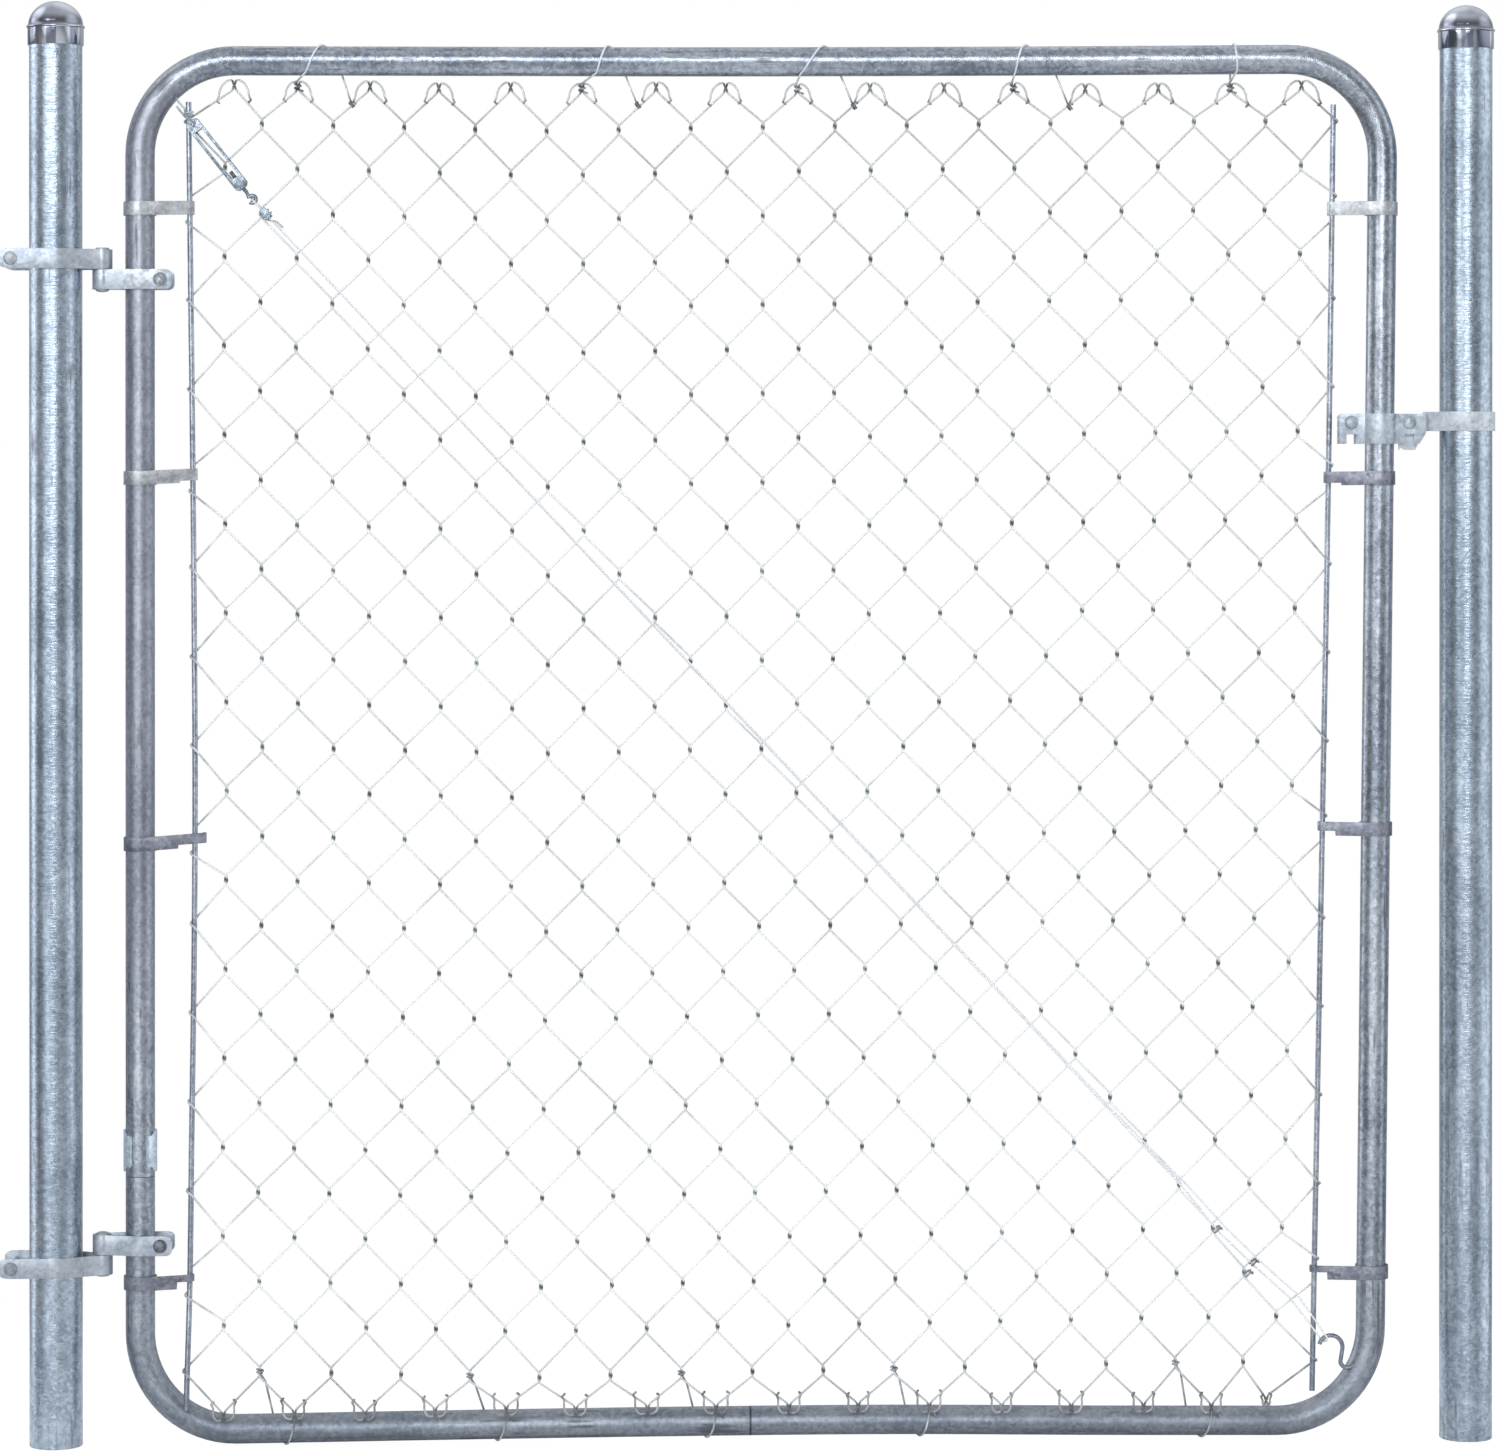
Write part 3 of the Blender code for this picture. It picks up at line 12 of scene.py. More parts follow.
import bmesh
import bpy
import numpy as np
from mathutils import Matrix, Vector


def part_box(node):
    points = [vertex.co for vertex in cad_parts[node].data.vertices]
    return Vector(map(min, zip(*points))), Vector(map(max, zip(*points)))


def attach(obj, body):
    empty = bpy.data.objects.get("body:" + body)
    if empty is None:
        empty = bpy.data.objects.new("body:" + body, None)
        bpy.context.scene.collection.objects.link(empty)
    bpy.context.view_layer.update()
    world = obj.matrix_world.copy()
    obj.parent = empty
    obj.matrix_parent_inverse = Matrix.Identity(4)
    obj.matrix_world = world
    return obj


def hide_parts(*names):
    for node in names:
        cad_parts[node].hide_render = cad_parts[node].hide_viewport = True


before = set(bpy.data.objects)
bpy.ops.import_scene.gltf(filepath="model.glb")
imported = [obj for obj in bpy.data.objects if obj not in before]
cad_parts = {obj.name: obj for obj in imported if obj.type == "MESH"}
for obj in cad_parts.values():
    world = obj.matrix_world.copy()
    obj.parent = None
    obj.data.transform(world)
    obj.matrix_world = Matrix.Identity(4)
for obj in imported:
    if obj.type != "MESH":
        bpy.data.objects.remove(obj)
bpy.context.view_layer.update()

# %% [markdown]
# ## Camera
# The photograph was taken from five and a half metres away with a long lens, at elbow height
# and turned to the right by less than two degrees, so the latch side is just under one per cent
# smaller than the hinge side. A vertical shift keeps the posts upright in the picture.

# %% Camera
CAMERA_PLACE = Vector((0.6593, -5.5572, 1.0896))
CAMERA_TURN = 1.66
CAMERA_PITCH = 0.148
CAMERA_LENS = 116.6
CAMERA_SENSOR = 36.0
CAMERA_SHIFT = -0.150


def linked(name, data):
    """A new object in the scene."""
    obj = bpy.data.objects.new(name, data)
    bpy.context.scene.collection.objects.link(obj)
    return obj


def direction(azimuth, elevation):
    """A unit vector from angles in degrees: azimuth 0 is towards the viewer and 90 along +X."""
    turn, rise = radians(azimuth), radians(elevation)
    return Vector((sin(turn) * cos(rise), -cos(turn) * cos(rise), sin(rise)))


camera_data = bpy.data.cameras.new("camera")
camera_data.lens = CAMERA_LENS
camera_data.sensor_width = CAMERA_SENSOR
camera_data.shift_y = CAMERA_SHIFT
camera = linked("camera", camera_data)
camera.location = CAMERA_PLACE
looking = direction(180 - CAMERA_TURN, -CAMERA_PITCH)
camera.rotation_euler = looking.to_track_quat("-Z", "Y").to_euler()
bpy.context.scene.camera = camera
print("camera at", [round(v, 2) for v in camera.location])

# %% [markdown]
# ## Sizes that the pieces share
# Places come from the boxes of the CAD nodes. The few sizes that a box can't give, because a
# faceted solid is a little thinner than the round thing it stands for, are written out.

# %% Shared sizes
POST_RADIUS = 0.03015
POST_WALL = 0.0024
FRAME_RADIUS = 0.0167
FRAME_WIDTH = 1.4222
POST_TO_STILE = 0.0958
BAR_RADIUS = 0.0032
WIRE_RADIUS = 0.00128
SEAT_GAP = 0.0003
WIRE_GAP = 0.0002


def middle_x(node):
    low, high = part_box(node)
    return (low.x + high.x) / 2


HINGE_POST_X = middle_x("hinge_post")
LATCH_POST_X = middle_x("latch_post")
POST_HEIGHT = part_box("hinge_post")[1].z
HINGE_STILE_X = HINGE_POST_X + POST_TO_STILE
LATCH_STILE_X = HINGE_STILE_X + FRAME_WIDTH
print("posts at", round(HINGE_POST_X, 4), round(LATCH_POST_X, 4), "height", round(POST_HEIGHT, 4))

# %% [markdown]
# ## Writing shader maths as plain expressions
# A pattern in a material is arithmetic on fields: numbers that vary over the surface. `Field`
# wraps a socket, so `0.3 + 0.5 * grain` adds the Math nodes by itself. `Nodes` makes every other
# node with one method, and `Finish` holds one material with the patterns that metal needs.

# %% Fields and finishes
EVEN = (1.0, 1.0, 1.0)


class Field:
    """A number that varies over a surface."""

    def __init__(self, tree, socket):
        self.tree, self.socket = tree, socket

    def combine(self, operation, first, second):
        node = self.tree.nodes.new("ShaderNodeMath")
        node.operation = operation
        for slot, value in zip(node.inputs, (first, second)):
            if isinstance(value, Field):
                self.tree.links.new(value.socket, slot)
            else:
                slot.default_value = value
        return Field(self.tree, node.outputs[0])

    def __add__(self, other):
        return self.combine("ADD", self, other)

    def __mul__(self, other):
        return self.combine("MULTIPLY", self, other)

    def __sub__(self, other):
        return self.combine("SUBTRACT", self, other)

    def __rsub__(self, other):
        return self.combine("SUBTRACT", other, self)

    __radd__, __rmul__ = __add__, __mul__


class Nodes:
    """Makes the nodes of one tree."""

    def __init__(self, tree):
        self.tree = tree

    def node(self, kind, inputs, **settings):
        """A new node, its inputs given as values, sockets or fields. Returns its outputs."""
        made = self.tree.nodes.new(kind)
        for key, value in settings.items():
            setattr(made, key, value)
        for key, value in inputs.items():
            value = value.socket if isinstance(value, Field) else value
            if isinstance(value, bpy.types.NodeSocket):
                self.tree.links.new(value, made.inputs[key])
            else:
                made.inputs[key].default_value = value
        return made.outputs

    def field(self, kind, output, inputs, **settings):
        return Field(self.tree, self.node(kind, inputs, **settings)[output])

    def rises(self, field, low, high):
        """0 where the field is low, 1 where it is high, with a soft edge."""
        return self.field("ShaderNodeMapRange", 0, {"Value": field, "From Min": low, "From Max": high},
                          interpolation_type="SMOOTHSTEP")

    def falls(self, field, low, high):
        return 1.0 - self.rises(field, low, high)

    def ramp(self, field, stops):
        colour = self.node("ShaderNodeValToRGB", {"Fac": field})["Color"]
        elements = colour.node.color_ramp.elements
        for element, (place, tint) in zip(elements, (stops[0], stops[-1])):
            element.position, element.color = place, (*tint, 1.0)
        for place, tint in stops[1:-1]:
            elements.new(place).color = (*tint, 1.0)
        return colour

    def blend(self, field, first, second):
        """From one colour to another; a colour is a socket or three numbers."""
        first, second = [(*end, 1.0) if isinstance(end, tuple) else end for end in (first, second)]
        return self.node("ShaderNodeMix", {0: field, 6: first, 7: second}, data_type="RGBA")[2]


class Finish(Nodes):
    """One material with its shader."""

    def __init__(self, name, metallic, roughness):
        self.material = bpy.data.materials.new(name)
        self.material.use_nodes = True
        super().__init__(self.material.node_tree)
        self.shader = self.tree.nodes["Principled BSDF"]
        self.shader.inputs["Metallic"].default_value = metallic
        self.shader.inputs["Roughness"].default_value = roughness

    def place(self, along_surface=False, stretch=EVEN):
        """Where on the piece, in metres: in space, or along and round a swept piece."""
        spot = self.node("ShaderNodeTexCoord", {})["UV" if along_surface else "Object"]
        return self.node("ShaderNodeMapping", {"Vector": spot, "Scale": stretch})[0]

    def grain(self, spot, scale, detail=2.0):
        return self.field("ShaderNodeTexNoise", 0, {"Vector": spot, "Scale": scale, "Detail": detail})

    def flakes(self, spot, scale):
        """Crystals of zinc: patches that each have one tone."""
        tone = self.node("ShaderNodeTexVoronoi", {"Vector": spot, "Scale": scale})["Color"]
        return self.field("ShaderNodeSeparateColor", 0, {"Color": tone})

    def along(self, axis):
        """How far along X, Y or Z, in metres."""
        spot = self.node("ShaderNodeTexCoord", {})["Object"]
        return self.field("ShaderNodeSeparateXYZ", axis, {0: spot})

    def paint(self, colour, roughness, height, depth):
        bump = self.node("ShaderNodeBump", {"Height": height, "Distance": depth, "Strength": 1.0})[0]
        for key, socket in (("Base Color", colour), ("Roughness", roughness.socket), ("Normal", bump)):
            self.tree.links.new(socket, self.shader.inputs[key])
        return self.material


# %% [markdown]
# ## Zinc
# Hot dipped zinc starts bright and turns to a soft blue grey. Up close it is a patchwork of
# crystals, crossed by the runs that the bath left along the tube and by darker stains. So every
# zinc here is the same recipe with other numbers: runs, crystals, patches and stains choose the
# tone, and the same fields vary the gloss. Towards the ground it turns darker and duller. The
# frame is also dull and mauve up its hinge side, and has a dark seam round its foot rail.

# %% Zinc
# The darker tone towards the ground, the mauve of the hinge side, and the colour of the seam.
LOW_TONE, MAUVE, BLACKENED = (0.15, 0.17, 0.20), (0.27, 0.27, 0.32), (0.04, 0.04, 0.05)
GREY_STAIN = (0.30, 0.34, 0.40)
SEAM_X = 0.8205


def zinc(name, dark, body, pale, gloss=0.34, metallic=0.82, stretch=EVEN, swept=False, runs=70.0,
         stain=(0.12, 0.12, 0.14), stained=0.6, ripple=EVEN, low_darkening=0.0, dull_side=0.0):
    finish = Finish(name, metallic, gloss)
    spot, drawn = finish.place(swept), finish.place(swept, stretch)
    streaks, crystals = finish.grain(drawn, runs, 3.0), finish.flakes(spot, 260.0)
    patches, fine = finish.grain(spot, 14.0, 3.0), finish.grain(spot, 900.0, 1.0)
    ripples = finish.grain(finish.place(swept, ripple), 90.0)
    tone = 0.45 * streaks + 0.17 * crystals + 0.38 * patches
    colour = finish.ramp(tone, [(0.36, dark), (0.50, body), (0.64, pale)])
    marks = finish.rises(0.55 * patches + 0.45 * finish.grain(drawn, 2.4 * runs), 0.57, 0.66)
    colour = finish.blend(stained * marks, colour, stain)
    roughness = gloss - 0.09 + 0.14 * fine + 0.16 * marks
    # Darker and duller towards the ground.
    if low_darkening:
        low = low_darkening * finish.falls(finish.along("Z") + 0.10 * patches, 0.10, 0.40)
        colour = finish.blend(low, colour, LOW_TONE)
        roughness = roughness + 0.35 * low
    if dull_side:
        across, height = finish.along("X"), finish.along("Z")
        side = finish.falls(across, HINGE_STILE_X + 0.02, HINGE_STILE_X + 0.07)
        side = dull_side * side * finish.rises(height, 0.3, 0.7)
        colour = finish.blend(side, colour, MAUVE)
        roughness = roughness + 0.30 * side
        seam = finish.rises(across, SEAM_X - 0.0018, SEAM_X - 0.0005)
        seam = seam * finish.falls(across, SEAM_X + 0.0005, SEAM_X + 0.0018)
        colour = finish.blend(0.85 * seam * finish.falls(height, 0.10, 0.20), colour, BLACKENED)
    return finish.paint(colour, roughness, 0.3 * fine + 0.7 * ripples, 0.0004)


post_zinc = zinc("post_zinc", (0.24, 0.29, 0.35), (0.38, 0.45, 0.53), (0.57, 0.65, 0.73),
                 gloss=0.30, stretch=(1.0, 1.0, 0.06), ripple=(1.0, 1.0, 5.0))
frame_zinc = zinc("frame_zinc", (0.20, 0.23, 0.28), (0.38, 0.42, 0.48), (0.58, 0.62, 0.68), gloss=0.30,
                  stretch=(0.05, 1.0, 1.0), swept=True, stained=0.8, low_darkening=0.5, dull_side=0.45)
strap_zinc = zinc("strap_zinc", (0.34, 0.39, 0.45), (0.49, 0.54, 0.60), (0.62, 0.67, 0.72),
                  runs=45.0, stain=GREY_STAIN, stained=0.5, metallic=0.6, gloss=0.42, low_darkening=0.45)
band_zinc = zinc("band_zinc", (0.17, 0.17, 0.22), (0.26, 0.27, 0.32), (0.38, 0.40, 0.45),
                 gloss=0.48, runs=60.0, low_darkening=0.5)
bright_zinc = zinc("bright_zinc", (0.44, 0.54, 0.66), (0.62, 0.71, 0.80), (0.80, 0.87, 0.92),
                   gloss=0.30, runs=60.0, stain=(0.22, 0.25, 0.30), metallic=0.55)
bolt_zinc = zinc("bolt_zinc", (0.32, 0.35, 0.40), (0.48, 0.52, 0.57), (0.64, 0.69, 0.73),
                 gloss=0.48, runs=120.0, metallic=0.5, low_darkening=0.8)
turnbuckle_zinc = zinc("turnbuckle_zinc", (0.12, 0.15, 0.18), (0.24, 0.29, 0.34),
                       (0.46, 0.52, 0.57), gloss=0.40, runs=110.0)
print(len(bpy.data.materials), "materials so far")

# %% [markdown]
# Wire ages unevenly: pale along the straight runs, and dark where a cut end holds dirt. Where two
# wires cross and rub, where they twist together and where a wire turns round a bar, the darkness
# is grime and painted shade together. The geometry writes this darkness as a value on every point,
# and the material reads it.
# The caps are bright aluminium with a painted reflection as a dark band above the bead, and
# painted reflections as dark stripes down the skirt.

# %% Wire and aluminium
TARNISH = (0.30, 0.31, 0.31)


def wire_finish(name, pale, dark, gloss=0.42, tarnished=0.0):
    finish = Finish(name, 0.3, gloss)
    spot, height = finish.place(), finish.along("Z")
    fine = finish.grain(spot, 1500.0, 1.0)
    # The darkness written by the geometry: grime, and painted shade where wires touch.
    grime_and_shade = finish.field("ShaderNodeAttribute", "Fac", {}, attribute_name="grime_and_shade")
    # Random patches of wear, together with that grime and painted shade, blend the wire to its dark
    # colour.
    wear_and_shade = finish.rises(grime_and_shade + 0.9 * finish.grain(spot, 60.0), 0.45, 1.25)
    near_rails = finish.falls(height, 0.05, 0.16) + 0.6 * finish.rises(height, 1.38, 1.50)
    tarnish = tarnished * (finish.rises(finish.grain(spot, 9.0), 0.50, 0.66) + 1.6 * near_rails)
    colour = finish.blend(wear_and_shade, finish.blend(tarnish, pale, TARNISH), dark)
    return finish.paint(colour, gloss - 0.08 + 0.16 * fine + 0.15 * grime_and_shade, fine, 0.0001)


mesh_wire = wire_finish("mesh_wire", (0.95, 0.97, 0.97), (0.13, 0.13, 0.13), tarnished=0.28)
truss_wire = wire_finish("truss_wire", (0.97, 0.98, 0.99), (0.30, 0.30, 0.31))
tie_wire = wire_finish("tie_wire", (0.86, 0.90, 0.94), (0.14, 0.14, 0.15), gloss=0.30)


def aluminium(name):
    finish = Finish(name, 1.0, 0.12)
    spot = finish.place()
    patches, fine = finish.grain(spot, 22.0, 3.0), finish.grain(spot, 420.0)
    dull = finish.rises(patches, 0.52, 0.70)
    colour = finish.blend(dull, (0.66, 0.69, 0.75), (0.46, 0.48, 0.55))
    above = finish.along("Z") - POST_HEIGHT
    ragged = above + 0.008 * patches
    # A dark band just above the bead: a painted reflection.
    reflection_band = finish.rises(ragged, 0.003, 0.008) * finish.falls(ragged, 0.012, 0.022)
    colour = finish.blend(0.75 * reflection_band, colour, (0.16, 0.16, 0.21))
    drawn = finish.grain(finish.place(stretch=(1.0, 1.0, 0.04)), 75.0, 1.0)
    # Dark stripes down the skirt: painted reflections.
    skirt = finish.falls(above, -0.001, 0.001) * finish.rises(drawn, 0.46, 0.54)
    colour = finish.blend(0.8 * skirt, colour, (0.13, 0.15, 0.21))
    return finish.paint(colour, 0.05 + 0.05 * fine + 0.08 * dull, patches + 0.2 * fine, 0.0005)


cap_aluminium = aluminium("cap_aluminium")
print("wire and aluminium ready")

# %% [markdown]
# ## Making pieces
# Round things are either turned about an axis or swept along a path. A sweep writes a UV map in
# metres, so that a pattern can follow the piece. Every piece stays at the origin with its place
# in its mesh, rides on one body of the frame, and hides the CAD node it stands for.

# %% Turning and sweeping
def shares(count):
    """Even steps from 0 to 1, both included."""
    return [step / count for step in range(count + 1)]


def on_circle(centre, radius, angle):
    """The point of a flat circle at an angle in degrees."""
    turn = radians(angle)
    return centre[0] + radius * cos(turn), centre[1] + radius * sin(turn)


def arc(centre, radius, start, end, steps):
    """Points round a flat arc, both ends included."""
    return [on_circle(centre, radius, start + (end - start) * share) for share in shares(steps)]


def divided(corners, step):
    """A line through all corners, with points about a step apart."""
    line = []
    for start, end in zip(corners, corners[1:]):
        count = max(1, round((end - start).length / step))
        line += [start.lerp(end, share) for share in shares(count)[:-1]]
    return line + [corners[-1]]


def finished(name, mesh, material, body, slot, *nodes, sharp=35.0):
    """Turns a bmesh into a piece of the gate that rides on a body and replaces CAD nodes."""
    bmesh.ops.recalc_face_normals(mesh, faces=mesh.faces)
    data = bpy.data.meshes.new(name)
    mesh.to_mesh(data)
    mesh.free()
    data.shade_smooth()
    data.set_sharp_from_angle(angle=radians(sharp))
    data.materials.append(material)
    return placed(linked(name, data), body, slot, *nodes)


def placed(obj, body, slot, *nodes):
    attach(obj, body)
    if nodes:
        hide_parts(*nodes)
    return obj


def joined(mesh, first, second):
    """Faces between two rings of vertices, either of which may be a single point."""
    sides = max(len(first), len(second))
    faces = []
    for side in range(sides):
        following = (side + 1) % sides
        corners = [first[side % len(first)], first[following % len(first)],
                   second[following % len(second)], second[side % len(second)]]
        faces.append(mesh.faces.new(list(dict.fromkeys(corners))))
    return faces


def turned(mesh, centre, profile, sides, axis="Z", closed=False):
    """Turns an outline of (radius, height) about a line through centre."""
    rings = []
    for radius, height in profile:
        ring = []
        for side in range(1 if radius == 0.0 else sides):
            x, y = on_circle((0, 0), radius, 360 * (side + 0.5) / sides)
            spot = Vector((x, height, -y) if axis == "Y" else (x, y, height))
            ring.append(mesh.verts.new(Vector(centre) + spot))
        rings.append(ring)
    for first, second in zip(rings, rings[1:]):
        joined(mesh, first, second)
    if closed:
        joined(mesh, rings[-1], rings[0])
        return
    for ring in (rings[0], rings[-1]):
        if len(ring) > 1:
            mesh.faces.new(ring)


def swept(mesh, path, radius, sides):
    """A round bar along a path, its rings carried along without twisting, with a UV in metres."""
    points = [Vector(point) for point in path]
    radii = radius if isinstance(radius, list) else [radius] * len(points)
    uv_layer = mesh.loops.layers.uv.verify()
    side_width = 2 * pi * max(radii) / sides
    side_axis = None
    rings, gone = [], 0.0
    for index, point in enumerate(points):
        before, after = points[max(index - 1, 0)], points[min(index + 1, len(points) - 1)]
        along = (after - before).normalized()
        gone += (point - before).length
        side_axis = side_axis or along.orthogonal()
        side_axis = (side_axis - along * side_axis.dot(along)).normalized()
        other_axis = along.cross(side_axis)
        ring = [mesh.verts.new(point + side_axis * x + other_axis * y)
                for x, y in arc((0, 0), radii[index], 0, 360, sides)[:-1]]
        rings.append((ring, gone))
    for (first, start), (second, end) in zip(rings, rings[1:]):
        for side, face in enumerate(joined(mesh, first, second)):
            near, far = side * side_width, (side + 1) * side_width
            for loop, spot in zip(face.loops, ((start, near), (start, far), (end, far), (end, near))):
                loop[uv_layer].uv = spot
    mesh.faces.new(rings[0][0])
    mesh.faces.new(rings[-1][0])


# %% [markdown]
# ## Posts and caps
# A post is a plain tube, so it is turned with enough sides to look round, and its rims are
# eased. The caps are pressed over the top: a straight skirt, a rolled bead and a dome, which is
# a little flatter than half a ball. Their outline is drawn once and turned twice.

# %% Posts and caps
POST_SIDES = 72
CAP_SKIRT = 0.0205
CAP_WALL = 0.0014
CAP_BEAD = 0.0016
CAP_DOME = 0.0285
DOME_START = 4


def make_post(name, centre_x, node):
    ease = POST_WALL * 0.3
    inner = POST_RADIUS - POST_WALL
    profile = [(inner, 0.0), (POST_RADIUS - ease, 0.0), (POST_RADIUS, ease)]
    profile += [(POST_RADIUS, POST_HEIGHT * share) for share in (0.25, 0.5, 0.75)]
    profile += [(POST_RADIUS, POST_HEIGHT - ease), (POST_RADIUS - ease, POST_HEIGHT),
                (inner, POST_HEIGHT)]
    mesh = bmesh.new()
    turned(mesh, (centre_x, 0.0, 0.0), profile, POST_SIDES, closed=True)
    return finished(name, mesh, post_zinc, "posts", "post_zinc", node)


def make_cap(name, centre_x, node):
    skirt = POST_RADIUS + SEAT_GAP + CAP_WALL
    ledge = POST_HEIGHT + SEAT_GAP
    profile = [(0.0, ledge - 0.002), (POST_RADIUS - 0.004, ledge - 0.002),
               (POST_RADIUS + SEAT_GAP, ledge - CAP_SKIRT), (skirt - 0.0004, ledge - CAP_SKIRT),
               (skirt, ledge - CAP_SKIRT + 0.0005), (skirt, ledge - 0.0012)]
    profile += arc((skirt - 0.0002, ledge + 0.0004), CAP_BEAD, -75, 75, 7)
    dome = arc((0, 0), 1.0, DOME_START, 90, 16)[:-1] + [(0.0, 1.0)]
    profile += [((skirt - 0.0006) * x, ledge + 0.0016 + CAP_DOME * y) for x, y in dome]
    mesh = bmesh.new()
    turned(mesh, (centre_x, 0.0, 0.0), profile, POST_SIDES)
    return finished(name, mesh, cap_aluminium, "posts", "cap_aluminium", node, sharp=50.0)


make_post("hinge_post_tube", HINGE_POST_X, "hinge_post")
make_post("latch_post_tube", LATCH_POST_X, "latch_post")
make_cap("hinge_post_dome", HINGE_POST_X, "hinge_post_cap")
make_cap("latch_post_dome", LATCH_POST_X, "latch_post_cap")
print("two posts", round(POST_HEIGHT, 3), "m tall")

# %% [markdown]
# ## Gate frame
# One tube is bent round four corners until its ends meet low on the hinge side. Years of
# swinging have bowed both rails by a few millimetres, so the path is a rounded rectangle whose
# rails are lifted by a smooth curve. A sweep along that path then gives UVs that run round the
# whole frame, and the stains follow the tube.

# %% Gate frame
FRAME_TAPER = 0.0135
FRAME_FOOT = 0.0205
FRAME_TOP = 1.5785
FRAME_BEND = 0.108
SPLICE_HEIGHT = 0.307
SPLICE_GAP = 0.0006
PATH_STEP = 0.04
RAIL_SHARES = (0.08, 0.26, 0.42, 0.60, 0.78, 0.92)
FOOT_RAIL_BOW = (-0.0030, 0.0002, 0.0025, 0.0036, 0.0012, 0.0)
TOP_RAIL_BOW = (0.0, 0.0, 0.0, 0.0010, 0.0028, 0.0046)


def smooth_value(knots, values, place):
    """A smooth curve through the knots."""
    slopes = np.gradient(values, knots)
    index = int(np.clip(np.searchsorted(knots, place) - 1, 0, len(knots) - 2))
    span = knots[index + 1] - knots[index]
    t = min(max((place - knots[index]) / span, 0.0), 1.0)
    return ((2 * t**3 - 3 * t**2 + 1) * values[index] + (t**3 - 2 * t**2 + t) * span * slopes[index]
            + (3 * t**2 - 2 * t**3) * values[index + 1] + (t**3 - t**2) * span * slopes[index + 1])


def rail_bow(rises, x):
    return smooth_value(RAIL_SHARES, rises, (x - HINGE_STILE_X) / FRAME_WIDTH)


def latch_stile_x(height):
    return LATCH_STILE_X - FRAME_TAPER * (FRAME_TOP - height) / (FRAME_TOP - FRAME_FOOT)


def frame_path():
    """From just below the splice, down and round the whole frame, to just above it."""
    corners = ((HINGE_STILE_X, FRAME_FOOT, 1, 1), (LATCH_STILE_X - FRAME_TAPER, FRAME_FOOT, -1, 1),
               (LATCH_STILE_X, FRAME_TOP, -1, -1), (HINGE_STILE_X, FRAME_TOP, 1, -1))
    flat = [(HINGE_STILE_X, SPLICE_HEIGHT - SPLICE_GAP / 2)]
    for (x, z, inward, upward), start in zip(corners, (180, 270, 0, 90)):
        centre = (x + inward * FRAME_BEND, z + upward * FRAME_BEND)
        flat += arc(centre, FRAME_BEND, start, start + 90, 18)
    flat.append((HINGE_STILE_X, SPLICE_HEIGHT + SPLICE_GAP / 2))
    bowed = []
    for x, z in divided([Vector(spot) for spot in flat], PATH_STEP):
        near_foot = max(0.0, 1.0 - (z - FRAME_FOOT) / FRAME_BEND)
        near_top = max(0.0, 1.0 - (FRAME_TOP - z) / FRAME_BEND)
        rise = near_foot * rail_bow(FOOT_RAIL_BOW, x) + near_top * rail_bow(TOP_RAIL_BOW, x)
        bowed.append((x, 0.0, z + rise))
    return bowed


def swept_piece(name, path, radius, sides, material, slot, node, sharp=35.0):
    """A swept bar as a piece of the gate."""
    mesh = bmesh.new()
    swept(mesh, path, radius, sides)
    return finished(name, mesh, material, "gate", slot, node, sharp=sharp)


tube_path = frame_path()
swept_piece("frame_round_tube", tube_path, FRAME_RADIUS, 40, frame_zinc, "frame_zinc", "frame_tube")
print("frame path", len(tube_path), "points")

# %% [markdown]
# ## Tension bars
# The mesh pulls both bars into a bow. Their centre lines are read from the CAD bars, ring by
# ring, and swept again with more sides. The hinge side bar steps forward at its foot, where it
# ends in front of the bent tube.

# %% Tension bars
RING_GAP = 0.004
BAR_STEPS = 60


def ring_centres(node):
    """The centre of each ring of vertices up a bar, from the foot."""
    spots = sorted({tuple(round(v, 5) for v in vertex.co) for vertex in
                    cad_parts[node].data.vertices}, key=lambda spot: spot[2])
    rings = [[spots[0]]]
    for spot in spots[1:]:
        if spot[2] - rings[-1][-1][2] > RING_GAP:
            rings.append([])
        rings[-1].append(spot)
    return np.array([np.mean(ring, axis=0) for ring in rings])


def bar_spot(side, height):
    """Centre of a bar (x, y) at a height, on straight lines between its rings."""
    x, y, z = BARS[side].T
    return np.interp(height, z, x), np.interp(height, z, y)


BARS = {side: ring_centres(f"{side}_side_bar") for side in ("hinge", "latch")}
for side, bar in BARS.items():
    x, y, z = bar.T
    bar_path = [(smooth_value(z, x, height), smooth_value(z, y, height), height)
                for height in np.linspace(z[0], z[-1], BAR_STEPS)]
    swept_piece(f"{side}_side_rod", bar_path, BAR_RADIUS, 16, frame_zinc, "frame_zinc",
                f"{side}_side_bar")
    print(side, "side bar", len(bar), "rings in the CAD bar")

# %% [markdown]
# ## Geometry Nodes for wire
# All the wire comes from one tree. It takes polylines, lets them wander by a fraction of a
# millimetre, as hand-bent wire does, and gives them a round section. The sizes are named
# inputs, and the result is turned into a plain mesh before it rides on the gate.

# %% The wire tree
WANDER_SCALE = 45.0


